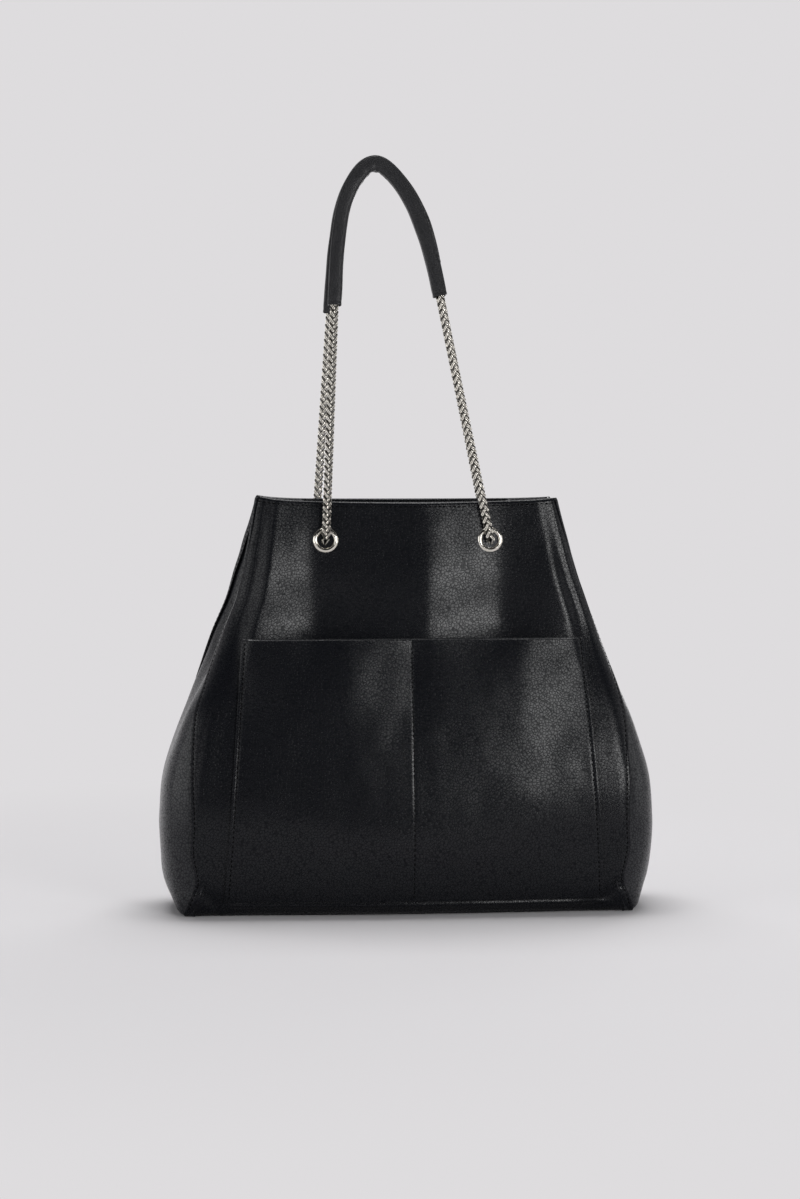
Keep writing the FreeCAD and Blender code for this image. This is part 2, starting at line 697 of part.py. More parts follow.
def bag_pieces():
    """Every piece of the bag, by the name of its node"""
    pieces = {
        "base_panel": base_plate(LEATHER_BACK, 0.0, LEATHER),
        "base_board": base_plate(LEATHER_BACK + PLY_GAP, LEATHER + PLY_GAP, BOARD),
        "lining_base": base_plate(LINING_BACK + PLY_GAP, BASE_STACK, LINING),
        "front_pocket": front_pocket(),
        "zip_pocket_bag": zip_pocket_bag(),
        "zip_pull": zip_pull(),
    }
    for name, make, across in (
        ("zip_tape", zip_tape, 0.0), ("zip_teeth", zip_teeth, 0.0), ("zip_slider", zip_slider, SLIDER_START),
    ):
        pieces[name] = seat(make(), BACK, across, ZIP_HEIGHT, inwards=True)
    for side, name in SIDE_NAMES.items():
        pieces[name + "_panel"] = leather_panel(side)
        pieces[name + "_stiffener"] = stiffener(side)
        pieces[name + "_facing"] = facing(side)
        pieces["lining_" + name] = lining_panel(side)
        pieces[name + "_strap_chain"] = strap_chain(side)
        pieces[name + "_shoulder_pad"] = shoulder_pad(side)
        pieces[name + "_pad_foam"] = pad_foam(side)
        snap = "snap_socket" if side == FRONT else "snap_stud"
        pieces[snap] = seat(snap_half(side), side, 0.0, SNAP_HEIGHT, inwards=True)
        pieces[snap + "_washer"] = seat(snap_washer(), side, 0.0, SNAP_HEIGHT, inwards=True)
        for hand, across in eyelet_places(side).items():
            place = name + "_" + HAND_NAMES[hand]
            pieces[place + "_eyelet"] = seat(eyelet(), side, across, EYELET_HEIGHT)
            pieces[place + "_washer"] = seat(eyelet_washer(), side, across, EYELET_HEIGHT)
    for hand, name in HAND_NAMES.items():
        pieces[name + "_gusset"] = leather_gusset(hand)
        pieces[name + "_facing"] = gusset_facing(hand)
        pieces["lining_" + name] = lining_gusset(hand)
        pieces[name + "_inner_chain"] = inner_chain(hand)
    return pieces


os.makedirs("parts", exist_ok=True)
print("lean %.3f degrees, yoke depth %.2f" % (math.degrees(LEAN), YOKE_DEPTH))
for strap_side in (FRONT, BACK):
    strap_pivot = flat_point(strap_side, 0.0, EYELET_HEIGHT, PIVOT_OFFSET)
    print(SIDE_NAMES[strap_side], "strap pivot", [round(value, 3) for value in strap_pivot])
for node, shape in bag_pieces().items():
    shape.exportStep("parts/" + node + ".step")
    print("%-22s %d solid, valid %s, %.1f mm3" % (node, len(shape.Solids), shape.isValid(), shape.Volume))
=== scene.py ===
import bpy
import functools
import math
from collections import namedtuple
from mathutils import Matrix, Vector, noise


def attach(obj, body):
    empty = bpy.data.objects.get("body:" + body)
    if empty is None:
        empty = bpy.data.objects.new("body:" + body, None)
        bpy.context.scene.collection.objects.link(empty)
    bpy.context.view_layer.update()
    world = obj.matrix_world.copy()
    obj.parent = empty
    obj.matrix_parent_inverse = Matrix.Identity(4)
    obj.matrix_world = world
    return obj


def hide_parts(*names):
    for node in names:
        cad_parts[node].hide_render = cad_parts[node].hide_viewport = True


# Chain shoulder bag, dressed around its CAD frame. Metres, +Z up, front towards -Y.

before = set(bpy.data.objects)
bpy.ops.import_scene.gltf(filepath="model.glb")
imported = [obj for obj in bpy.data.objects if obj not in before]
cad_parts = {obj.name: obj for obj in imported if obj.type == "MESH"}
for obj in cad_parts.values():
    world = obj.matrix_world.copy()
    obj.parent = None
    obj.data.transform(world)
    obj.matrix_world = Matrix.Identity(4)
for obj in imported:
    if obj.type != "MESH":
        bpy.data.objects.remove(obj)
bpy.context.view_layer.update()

FRONT = -1
BACK = 1
LEFT = -1
RIGHT = 1
SIDE_NAMES = {FRONT: "front", BACK: "back"}
HAND_NAMES = {LEFT: "left", RIGHT: "right"}
MM = 0.001

# Body, station by station: half width to the seam or rolled edge, half depth, crown, radius and
# degrees of the rolled edge, how far the gusset's middle stands out, and how straight the gusset
# leaves its seam and reaches its middle
Shape = namedtuple("Shape", "half_width half_depth crown radius roll side lead ease")
BODY = {
    0.000: Shape(0.2165, 0.0570, 0.009, 0.006, 30.0, -0.0010, 0.35, 0.45),
    0.014: Shape(0.2118, 0.0625, 0.009, 0.013, 26.0, 0.0165, 0.37, 0.47),
    0.033: Shape(0.2052, 0.0690, 0.009, 0.024, 21.0, 0.0322, 0.40, 0.50),
    0.062: Shape(0.2095, 0.0740, 0.009, 0.034, 17.0, 0.0306, 0.40, 0.50),
    0.092: Shape(0.2085, 0.0778, 0.0045, 0.040, 16.0, 0.0325, 0.40, 0.50),
    0.140: Shape(0.2095, 0.0728, 0.0028, 0.036, 22.0, 0.0250, 0.40, 0.50),
    0.200: Shape(0.2045, 0.0595, 0.0024, 0.026, 48.0, 0.004, 0.40, 0.45),
    0.272: Shape(0.1812, 0.0387, 0.000, 0.013, 98.0, -0.014, 0.40, 0.30),
    0.330: Shape(0.1612, 0.0339, 0.000, 0.010, 120.0, -0.027, 0.40, 0.20),
    0.396: Shape(0.1440, 0.0285, 0.000, 0.006, 138.0, -0.040, 0.40, 0.14),
}
STATION_HEIGHTS = sorted(BODY)
BODY_HEIGHT = STATION_HEIGHTS[-1]
FLAT_SHARE = 0.88
MOUTH_SAG = {FRONT: 0.0030, BACK: 0.0005}
CORNER_LIFT = {LEFT: 0.0035, RIGHT: 0.0012}
SAG_START = 0.368
BASE_ROUND = 0.010
CORNER_ROUND = 0.0035
BASE_HALF_WIDTH = 0.215
BASE_HALF_DEPTH = 0.057
BASE_LIFT = 0.0006
BASE_DENT = 0.0005
BASE_CORNER_REACH = 0.024
BOARD_GAPS = (0.018, 0.012)
BOARD_CORNER = 0.010
BOARD_LOW = 0.0022
BOARD_HIGH = 0.0046

# How far the panels' side edges slouch out past the stations, height by height
SLOUCH_HEIGHTS = (0.150, 0.190, 0.225, 0.262, 0.300, 0.325, 0.348, 0.396)
SLOUCHES = {
    (FRONT, LEFT): (0.0, 0.0, -0.0030, -0.0038, -0.0060, -0.0040, -0.0020, -0.0005),
    (BACK, LEFT): (0.0, 0.0005, 0.0030, 0.0040, 0.0015, 0.0024, 0.0012, -0.0030),
    (FRONT, RIGHT): (0.0, 0.0015, 0.0020, 0.0020, 0.0015, 0.0010, 0.0005, -0.0015),
    (BACK, RIGHT): (0.0, 0.0015, 0.0020, 0.0020, 0.0015, 0.0010, 0.0005, -0.0010),
}

# Where each seam turns out to the corner of the base, with small gathers and a hollow beside it
GATHER_SPOT = (0.2010, 0.0325)
GATHER_RISE = 0.0006
GATHER_PITCH = 0.0056
GATHER_REACH = 0.0110
HOLLOW_END = (0.1620, 0.0050)
HOLLOW_DEPTH = 0.0032
HOLLOW_WIDTH = 0.0065
HOLLOW_BOW = 0.006
GATHER_TOP = 0.060
GATHER_SHARES = {FRONT: 1.0, BACK: 0.7}

# Dents and swells of soft leather: rise, how often they come across and up, and a shift
DENTS = ((0.0009, 16.0, 9.0, 0.0), (0.00022, 55.0, 38.0, 7.0))

# Where across a panel's open face its folds and dents start to fade, and over what share
FADE_START = 0.90
FADE_RUN = 0.10
TIGHTEST_BEND = 0.0008

# Layers, measured in from the outside of the leather
LEATHER = 0.0018
LAP = 0.0026
LAP_REACH = 0.008
RIM_ROUND = 0.0021
PANEL_EDGE = 0.0006
CUT_EDGE = 0.0004
FACING_FACE = 0.0042
FACING = 0.0012
GUSSET_FACING_FACE = 0.0034
GUSSET_FACING_REACH = 0.80
SLOPE_STEP = 0.02
STIFFENER_FACE = 0.0028
STIFFENER = 0.0008
STIFFENER_HEIGHTS = (0.344, 0.3935)
STIFFENER_REACH = 0.84
FACING_BOTTOM = 0.340
LINING_FACE = 0.0071
LINING = 0.0007
LINING_BOTTOM = 0.0052

# Soft folds of the panels: they dip at the eyelets and stand out between them and beside them,
# and each slope bends over to its crest more or less softly
FOLD_DIPS = {FRONT: (-0.087, 0.091), BACK: (-0.085, 0.085)}
FOLD_CRESTS = {FRONT: (-0.146, 0.018, 0.148), BACK: (-0.140, -0.012, 0.142)}
FOLD_RISES = {FRONT: (0.0100, 0.0085, 0.0055), BACK: (0.0035, 0.0055, 0.0035)}
FOLD_HEIGHTS = (0.190, 0.300, 0.396)
FOLD_TOP_SHARE = 0.45
FOLD_DIP_ROUND = 0.14
FOLD_BENDS = (0.30, 0.40, 0.25, 0.30)

# Patch pocket, and the ledge of panel that shows under it
POCKET_BOTTOM = 0.015
POCKET_TOP = 0.264
POCKET_CENTRE = 0.004
POCKET_HALF_BOTTOM = 0.1815
POCKET_HALF_TOP = 0.1641
POCKET_SEAT = 0.0003
LEDGE_HEIGHT = 0.0108
LEDGE_RISE = 0.0020
LEDGE_REACH = 0.0024
LEDGE_INSET = 0.004
LEDGE_FADE = 0.012
POCKET_LEATHER = 0.0014
POCKET_ROLL = 0.0012
POCKET_HEM = 0.0022
POCKET_HEM_LIFT = 0.0042
POCKET_FLARE = 0.070
POCKET_FLARE_RUN = 0.066
POCKET_PLY = 0.0010
POCKET_DENT = 0.0004
POCKET_SLACK = 0.0095
POCKET_SLACK_POWER = 4.5
POCKET_SEAM = 0.002
HEM_STEPS = 12
HEM_PRESSED_STEP = 3

# Slack of the two pocket bays: how full, then how far it slopes in from each side and how softly
POCKET_SWELLS = {LEFT: (1.0, 0.40, 0.5, 0.38, 0.15), RIGHT: (0.85, 0.56, 0.12, 0.37, 0.12)}

# Stitches, sunk in a groove, and how far each line of them runs
STITCH_PITCH = 0.0047
STITCH_LENGTH = 0.0032
STITCH_WIDTH = 0.0012
STITCH_EDGE = 0.0030
POCKET_STITCH_EDGE = 0.0036
GROOVE_DEPTH = 0.0004
GROOVE_WIDTH = 0.0010
RIM_STITCH_DROP = 0.0045
RIM_STITCH_REACH = 0.97
FACING_STITCH_REACH = 0.86
SEAM_STITCH_HEIGHTS = (0.006, 0.388)
POCKET_STITCH_END = 0.002

# Eyelets in the leaning band, and the axes that the straps swing on
BAND_LEAN = math.radians(4.691)
EYELET_HEIGHT = 0.357
EYELET_DEPTH = 0.0317
EYELETS = {FRONT: 0.079, BACK: 0.085}
PIVOT_DEPTH = 0.038378
PIVOT_HEIGHT = 0.357548
STRAP_LEAN = 0.08178
STRAP_RISE = 0.99665

# Routes of the two straps: across, and up from the eyelets in the strap's own plane
STRAP_ROUTES = {
    FRONT: (
        (-0.079, 0.0), (-0.077, 0.048), (-0.0689, 0.240), (-0.0662, 0.285), (-0.0585, 0.330),
        (-0.038, 0.3598), (-0.021, 0.3598), (0.003, 0.330), (0.0175, 0.293), (0.0268, 0.260),
        (0.0330, 0.2264), (0.0692, 0.047), (0.079, 0.0),
    ),
    BACK: (
        (-0.085, 0.0), (-0.082, 0.048), (-0.0698, 0.240), (-0.0665, 0.285), (-0.0588, 0.331),
        (-0.038, 0.3636), (-0.019, 0.3636), (0.0075, 0.331), (0.0228, 0.297), (0.0308, 0.259),
        (0.0757, 0.045), (0.085, 0.0),
    ),
}
INNER_CHAIN_MIDDLE = (0.090, 0.0, 0.343)
INNER_CHAIN_TURN = (0.0327, 0.0005)

# Wheat chain: oval links in four columns round the line, slanting apart like the grains of an ear
LINK_HALF_WIDTH = 0.0009
LINK_STRETCH = 0.0023
LINK_WIRE = 0.00072
LINK_OFFSET = 0.0024
LINK_SLANT = math.radians(37.0)
LINK_LEAN = math.radians(10.0)
LINK_PITCH = 0.0072
LINK_SEGMENTS = 10

# Padded sleeves: half outline, outwards from the loop and across it, with a beaded edge outside
PAD_OUTLINE = (
    (-6.8, 0.0), (-6.8, 4.4), (-6.1, 6.4), (-4.2, 7.2), (0.0, 7.5), (4.4, 7.3),
    (5.6, 7.5), (6.5, 7.2), (6.7, 6.3), (6.0, 5.5), (5.8, 3.0), (5.8, 0.0),
)
PAD_ENDS = {FRONT: (0.5808, 0.5888), BACK: (0.5748, 0.6227)}
PAD_STEP = 0.0018
PAD_WALL = 0.0012
PAD_HALF = 0.007
PAD_HEM = 0.0040
PAD_HEM_DEPTH = 0.00035
PAD_HEM_WIDTH = 0.0012
PAD_DENT = 0.00040
CORE_SHARE = 0.80
CORE_WALL = 0.0022
CORE_RECESS = 2
WRINKLE_SCALE = 170.0
WRINKLE_RISE = 0.0011
WRINKLE_REACH = 0.026

# Zip in the back lining, and the pouch that hangs behind it
ZIP_HALF_LENGTH = 0.075
ZIP_HEIGHT = 0.3054
ZIP_TAPE_HALF = 0.012
ZIP_TAPE_HALF_LENGTH = 0.087
ZIP_SLOT_HALF = 0.005
ZIP_TAPE_FACE = 0.0062
ZIP_TAPE_CLOTH = 0.0006
TOOTH_PITCH = 0.0010
TOOTH_SIZE = (0.0007, 0.0020, 0.0030)
TOOTH_DEPTH = 0.0287
TOOTH_STAGGER = 0.0006
TOOTH_EDGE = 0.0002
POUCH_HALF_WIDTH = 0.085
POUCH_BOTTOM = 0.203
POUCH_TOP = 0.318
POUCH_INSETS = (0.0030, 0.0054)
POUCH_CLOTH = 0.0004
POUCH_SEAM = 0.006

# Floor of the lining
FLOOR_GAP = 0.007
FLOOR_HEIGHT = 0.0056
FLOOR_DENT = 0.0006

# Softboxes: azimuth, distance, height, width, tall side, power and the height that they aim at
SOFTBOXES = {
    "right_softbox": (26.0, 2.3, 0.67, 0.85, 0.46, 16.0, 0.3),
    "side_softbox": (74.0, 2.0, 0.55, 1.20, 1.0, 5.0, 0.2),
    "left_softbox": (-68.0, 2.0, 0.60, 2.00, 1.0, 11.0, 0.3),
    "front_fill": (-24.0, 2.6, 0.80, 0.80, 0.9, 2.8, 0.3),
    "back_softbox": (150.0, 2.3, 0.70, 0.90, 0.6, 7.0, 0.3),
    "top_softbox": (180.0, 0.50, 2.40, 1.80, 1.4, 48.0, 0.2),
}
BACKDROP = (0.730, 0.716, 0.730, 1.0)
ROOM_FRONT = (0.010, 0.010, 0.011, 1.0)
ROOM_FILL = (0.12, 0.12, 0.125, 1.0)
CAMERA_PLACE = (-0.2484, -2.839, 0.456)
CAMERA_TURN = (math.radians(86.828), 0.0, math.radians(-4.902))
CAMERA_LENS = 88.4
CAMERA_SENSOR = 36.0


# Modelling helpers

def mode(name):
    bpy.ops.object.mode_set(mode=name)


def settle():
    """Works the active piece's place, turn and size into its mesh"""
    bpy.ops.object.transform_apply(location=True, rotation=True, scale=True)


def pick_none():
    if bpy.context.object and bpy.context.object.mode != "OBJECT":
        mode("OBJECT")
    bpy.ops.object.select_all(action="DESELECT")
    bpy.context.tool_settings.mesh_select_mode = (True, False, False)


def pick(piece):
    pick_none()
    piece.select_set(True)
    bpy.context.view_layer.objects.active = piece


def added(name):
    piece = bpy.context.object
    piece.name = name
    piece.data.name = name
    return piece


def apply_modifier(piece, kind, **settings):
    pick(piece)
    modifier = piece.modifiers.new(kind.lower(), kind)
    for name, setting in settings.items():
        setattr(modifier, name, setting)
    bpy.ops.object.modifier_apply(modifier=modifier.name)


def solidify(piece, thickness):
    """Gives a skin its thickness inwards"""
    apply_modifier(piece, "SOLIDIFY", thickness=thickness, offset=-1.0)


def smooth(piece, degrees=40.0):
    pick(piece)
    bpy.ops.object.shade_smooth_by_angle(angle=math.radians(degrees))


def spaced(start, end, coarse, fine, places, reach):
    """Values from start to end, closer together near the places given"""
    values = [start]
    while values[-1] < end:
        gap = min(abs(values[-1] - place) for place in places)
        values.append(values[-1] + fine + (coarse - fine) * min(gap / reach, 1.0))
    stretch = (end - start) / (values[-1] - start)
    return [start + (value - start) * stretch for value in values]


def skin(name, columns, rows, place):
    """A grid with a point at place(column, row) for each pair of values"""
    pick_none()
    last_column = len(columns) - 1
    last_row = len(rows) - 1
    bpy.ops.mesh.primitive_grid_add(size=1.0, x_subdivisions=last_column, y_subdivisions=last_row)
    piece = added(name)
    for vertex in piece.data.vertices:
        column = columns[round((vertex.co.x + 0.5) * last_column)]
        row = rows[round((vertex.co.y + 0.5) * last_row)]
        vertex.co = place(column, row)
    return piece


def thicken(piece, thickness, edge):
    """Gives a skin its thickness and eases its cut edges"""
    solidify(piece, thickness)
    apply_modifier(piece, "BEVEL", width=edge, segments=2, limit_method="ANGLE",
                   angle_limit=math.radians(60.0))
    smooth(piece)


def weld(piece):
    """Joins the points that meet and turns all faces outwards"""
    pick(piece)
    mode("EDIT")
    bpy.ops.mesh.select_all(action="SELECT")
    bpy.ops.mesh.remove_doubles(threshold=1e-6)
    bpy.ops.mesh.normals_make_consistent(inside=False)
    mode("OBJECT")


def copies(model, name, places):
    """One piece made of a copy of the model at each place"""
    made = []
    for place in places:
        copy = model.copy()
        copy.data = model.data.copy()
        copy.data.transform(place)
        bpy.context.collection.objects.link(copy)
        made.append(copy)
    pick_none()
    for copy in made:
        copy.select_set(True)
    bpy.context.view_layer.objects.active = made[0]
    bpy.ops.object.join()
    return added(name)


def choose_faces(piece, wanted):
    """Opens a piece in edit mode with the faces selected whose centre is wanted"""
    pick(piece)
    mode("EDIT")
    bpy.ops.mesh.select_mode(type="FACE")
    bpy.ops.mesh.select_all(action="DESELECT")
    mode("OBJECT")
    for face in piece.data.polygons:
        face.select = wanted(face.center)
    mode("EDIT")


def discard(piece):
    bpy.data.objects.remove(piece)


def turned(name, rings):
    """A closed turned piece, its outline given ring by ring as radius and height"""
    pick_none()
    first_radius, first_height = rings[0]
    bpy.ops.mesh.primitive_circle_add(vertices=64, radius=first_radius,
                                      location=(0.0, 0.0, first_height))
    piece = added(name)
    settle()
    mode("EDIT")
    bpy.ops.mesh.select_all(action="SELECT")
    for (radius, height), (next_radius, next_height) in zip(rings, rings[1:] + rings[:1]):
        rise = (0.0, 0.0, next_height - height)
        bpy.ops.mesh.extrude_region_move(TRANSFORM_OT_translate={"value": rise})
        share = next_radius / radius
        bpy.ops.transform.resize(value=(share, share, 1.0))
    weld(piece)
    smooth(piece, 30.0)
    return piece


def frame_at(point, along, outward):
    """Matrix with X along a line, Z as near to outward as it can be, and its origin at a point"""
    x = along.normalized()
    y = outward.cross(x).normalized()
    z = x.cross(y)
    turn = Matrix((x, y, z)).transposed().to_4x4()
    return Matrix.Translation(point) @ turn


def ease(value):
    value = min(max(value, 0.0), 1.0)
    return value * value * (3.0 - 2.0 * value)


def dress(piece, finish, slot, body, *nodes):
    """Gives a piece its finish and its body, and hides the CAD nodes that it stands for"""
    piece.data.materials.clear()
    piece.data.materials.append(finish)
    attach(piece, body)
    if nodes:
        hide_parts(*nodes)
    return piece


# Shape of the body

@functools.lru_cache(maxsize=None)
def shape_at(height):
    """The body's measures at a height, on a smooth line through the stations"""
    heights = STATION_HEIGHTS
    index = 0
    while index < len(heights) - 2 and height > heights[index + 1]:
        index += 1
    low = heights[index]
    high = heights[index + 1]
    span = high - low
    t = min(max((height - low) / span, 0.0), 1.0)
    before = heights[max(index - 1, 0)]
    after = heights[min(index + 2, len(heights) - 1)]
    values = []
    for a, b, c, d in zip(BODY[before], BODY[low], BODY[high], BODY[after]):
        start = (c - a) / (high - before) * span
        end = (d - b) / (after - low) * span
        value = (2 * t ** 3 - 3 * t ** 2 + 1) * b + (t ** 3 - 2 * t ** 2 + t) * start
        value += (3 * t ** 2 - 2 * t ** 3) * c + (t ** 3 - t ** 2) * end
        values.append(value)
    return Shape(*values)


@functools.lru_cache(maxsize=None)
def slouch(side, hand, height):
    """How far a panel's side edge strays outwards at a height"""
    steps = SLOUCHES[side, hand]
    value = steps[0]
    for low, high, before, after in zip(SLOUCH_HEIGHTS, SLOUCH_HEIGHTS[1:], steps, steps[1:]):
        value += (after - before) * ease((height - low) / (high - low))
    return value


def gathers(side, x, height):
    """Small gathers and a hollow where a seam turns out to the corner of the base"""
    if height > GATHER_TOP:
        return 0.0
    spot_x, spot_height = GATHER_SPOT
    end_x, end_height = HOLLOW_END
    over = abs(x) - spot_x
    up = height - spot_height
    reach = math.exp(-(math.hypot(over, up * 0.8) / GATHER_REACH) ** 2)
    ridges = math.sin(2.0 * math.pi * (up - 0.5 * over) / GATHER_PITCH)
    run_x = end_x - spot_x
    run_up = end_height - spot_height
    run = math.hypot(run_x, run_up)
    along = (over * run_x + up * run_up) / run ** 2
    aside = (over * run_up - up * run_x) / run
    bow = HOLLOW_BOW * (1.0 - (2.0 * along - 1.0) ** 2)
    hollow = math.exp(-((aside + bow) / HOLLOW_WIDTH) ** 2)
    hollow *= ease(along / 0.15)
    hollow *= ease((1.2 - along) / 0.6)
    return GATHER_SHARES[side] * (GATHER_RISE * ridges * reach - HOLLOW_DEPTH * hollow)


def slope_over(run, round_off):
    """An even slope that bends over to level at 1, with a rounded bend"""
    run = max(run, 0.0)
    if run <= 1.0 - round_off:
        return run
    if run >= 1.0 + round_off:
        return 1.0
    return 1.0 - (1.0 + round_off - run) ** 2 / (4.0 * round_off)


def dipped(run):
    """Rounds the bottom of a fold's dip, leaving 0 and 1 where they are"""
    rise = math.hypot(run, FOLD_DIP_ROUND) - FOLD_DIP_ROUND
    return rise / (math.hypot(1.0, FOLD_DIP_ROUND) - FOLD_DIP_ROUND)


def fold(side, x, height):
    """How far the soft folds lift the leather of a panel"""
    low, middle, top = FOLD_HEIGHTS
    strength = ease((height - low) / (middle - low))
    strength *= 1.0 - (1.0 - FOLD_TOP_SHARE) * ease((height - middle) / (top - middle))
    left_dip, right_dip = FOLD_DIPS[side]
    left_crest, middle_crest, right_crest = FOLD_CRESTS[side]
    left_rise, middle_rise, right_rise = FOLD_RISES[side]
    slopes = (
        (left_dip, left_dip, left_crest, left_rise),
        (middle_crest, left_dip, middle_crest, middle_rise),
        (right_dip, right_dip, middle_crest, middle_rise),
        (math.inf, right_dip, right_crest, right_rise),
    )
    for (limit, dip, crest, rise), bend in zip(slopes, FOLD_BENDS):
        if x < limit:
            break
    lift = rise * slope_over(dipped((x - dip) / (crest - dip)), bend)
    if crest == middle_crest:
        lift /= slope_over(1.0, bend)
    return lift * strength


def unevenness(x, y, height):
    """The slight dents and swells of soft leather"""
    lift = 0.0
    for rise, across, up, shift in DENTS:
        lift += rise * noise.noise(Vector((x * across + shift, y * across, height * up)))
    return lift


def flat_half(side, hand, height):
    """Half width of a panel's open face, up to where its edge starts to roll"""
    shape = shape_at(height)
    roll = math.radians(min(shape.roll, 90.0))
    return shape.half_width + slouch(side, hand, height) - shape.radius * math.sin(roll)


def edge_arc(height):
    """Length of a panel's rolled edge, round its bend"""
    shape = shape_at(height)
    return shape.radius * math.radians(shape.roll)


def ledge(side, x, height):
    """The front panel puffs out just under the pocket's bottom edge"""
    if side == BACK:
        return 0.0
    fade = 1.0 - ease((abs(x - POCKET_CENTRE) - POCKET_HALF_BOTTOM + LEDGE_INSET) / LEDGE_FADE)
    return LEDGE_RISE * fade * math.exp(-((height - LEDGE_HEIGHT) / LEDGE_REACH) ** 2)


def face_depth(side, x, height):
    """Distance of a panel's open face from the bag's middle plane"""
    shape = shape_at(height)
    hand = RIGHT if x > 0.0 else LEFT
    share = min(abs(x) / flat_half(side, hand, height), 1.0)
    edge_fade = 1.0 - ease((share - FADE_START) / FADE_RUN)
    lift = (fold(side, x, height) + unevenness(x, side, height)) * edge_fade
    lift += gathers(side, x, height)
    return shape.half_depth + shape.crown * (1.0 - share ** 2) ** 2 + lift + ledge(side, x, height)


def groove(distance, place):
    """A line of stitches draws the leather in"""
    return GROOVE_DEPTH * math.exp(-((distance - place) / GROOVE_WIDTH) ** 2)


def sag(side, hand, x, height):
    """How far the mouth's edge dips in its middle and rises at its corners"""
    shape = shape_at(height)
    share = min(abs(x) / shape.half_width, 1.0)
    dip = MOUTH_SAG[side] * (1.0 - share ** 2) - CORNER_LIFT[hand] * share ** 8
    return dip * ease((height - SAG_START) / (BODY_HEIGHT - SAG_START))


def panel_point(side, across, height, inset=0.0):
    """Point of a front or back wall, from -1 at its left seam to 1 at its right one"""
    shape = shape_at(height)
    hand = RIGHT if across > 0.0 else LEFT
    flat = flat_half(side, hand, height)
    x = flat * min(abs(across) / FLAT_SHARE, 1.0)
    turn = math.radians(shape.roll) * max(abs(across) - FLAT_SHARE, 0.0) / (1.0 - FLAT_SHARE)
    plain = shape.half_depth + shape.crown * (1.0 - min(x / flat, 1.0) ** 2) ** 2
    inner_share = min(inset / FACING_FACE, 1.0)
    depth = face_depth(side, hand * x, height) * (1.0 - inner_share) + plain * inner_share
    bend = max(shape.radius - inset, TIGHTEST_BEND)
    if turn > 0.0:
        from_edge = edge_arc(height) * (1.0 - abs(across)) / (1.0 - FLAT_SHARE)
        bend -= groove(from_edge, STITCH_EDGE) * (1.0 - inner_share)
        depth += bend * math.cos(turn) - shape.radius
    else:
        depth -= inset
    x += bend * math.sin(turn)
    return Vector((hand * x, side * depth, height - sag(side, hand, x, height)))


def gusset_point(hand, through, height, inset=0.0):
    """Point of a gusset, from -1 at the front seam to 1 at the back; beyond, it lies under the panel"""
    shape = shape_at(height)
    side = FRONT if through < 0.0 else BACK
    seam = panel_point(side, hand, height, LAP + inset)
    start = Vector((hand * seam.x, side * seam.y))
    middle = Vector((shape.half_width + shape.side - LAP - inset, 0.0))
    roll = math.radians(shape.roll)
    leaving = Vector((math.cos(roll), -math.sin(roll)))
    reach = (middle - start).length
    first = start + leaving * (reach * shape.lead)
    second = middle + Vector((0.0, reach * shape.ease))
    t = 1.0 - min(abs(through), 1.0)
    spot = start * (1 - t) ** 3 + first * (3 * t * (1 - t) ** 2)
    spot += second * (3 * t ** 2 * (1 - t)) + middle * t ** 3
    spot -= leaving * max(abs(through) - 1.0, 0.0)
    puff = 0.0
    if abs(through) < 1.0:
        puff = unevenness(hand, side * spot.y, height) * (1.0 - abs(through))
    return Vector((hand * (spot.x + puff), side * spot.y, height - sag(side, hand, spot.x, height)))


def gusset_facing_point(hand, through, height, inset):
    """Point straight in from a gusset's outside, short of its seams"""
    reach = GUSSET_FACING_REACH * through
    along = gusset_point(hand, reach + SLOPE_STEP, height)
    along -= gusset_point(hand, reach - SLOPE_STEP, height)
    inward = Vector((-hand * along.y, hand * along.x, 0.0)).normalized()
    return gusset_point(hand, reach, height) + inward * inset


def tucked(point, tuck):
    """Draws a point in towards the middle of the base"""
    x = point.x * (1.0 - tuck / BASE_HALF_WIDTH)
    y = point.y * (1.0 - tuck / BASE_HALF_DEPTH)
    return Vector((x, y, point.z))


def wall_spot(point_at, base_round, row):
    """Point of a leather wall: rows below 0 turn under the base, rows above 1 roll over the mouth"""
    if row < 0.0:
        angle = 0.5 * math.pi * (1.0 + row)
        tuck = base_round * (1.0 - math.sin(angle))
        return tucked(point_at(base_round * (1.0 - math.cos(angle)), 0.0), tuck)
    if row > 1.0:
        angle = math.pi * (row - 1.0)
        point = point_at(BODY_HEIGHT, RIM_ROUND * (1.0 - math.cos(angle)))
        return point + Vector((0.0, 0.0, RIM_ROUND * (math.sin(angle) - 1.0)))
    height = base_round + (BODY_HEIGHT - RIM_ROUND - base_round) * row
    return point_at(height, 0.0)


def base_round_at(share):
    """Radius of the turn under the base, tighter towards the corners"""
    return BASE_ROUND + (CORNER_ROUND - BASE_ROUND) * min(abs(share), 1.0) ** 4


WALL_ROWS = (
    spaced(-1.0, 0.0, 0.16, 0.12, (0.0,), 1.0)[:-1]
    + spaced(0.0, 1.0, 0.0100, 0.0025, (0.0, 0.05, 1.0), 0.09)[:-1]
    + spaced(1.0, 2.0, 0.16, 0.12, (1.0,), 1.0)
)
WALL_COLUMNS = spaced(-1.0, 1.0, 0.020, 0.004, (-0.97, -0.90, 0.90, 0.97), 0.14)


GUSSET_COLUMNS = spaced(-1.0 - LAP_REACH, 1.0 + LAP_REACH, 0.040, 0.012, (-1.0, 0.0, 1.0), 0.30)


def leather_wall(name, point_on, columns, edge):
    """A wall that turns under the base and rolls over the mouth"""
    def place(share, row):
        return wall_spot(functools.partial(point_on, share), base_round_at(share), row)

    piece = skin(name, columns, WALL_ROWS, place)
    thicken(piece, LEATHER, edge)
    return piece


def leather_panel(side):
    def point_on(across, height, inset):
        return panel_point(side, -side * across, height, inset)

    return leather_wall(SIDE_NAMES[side] + "_leather_panel", point_on, WALL_COLUMNS, PANEL_EDGE)


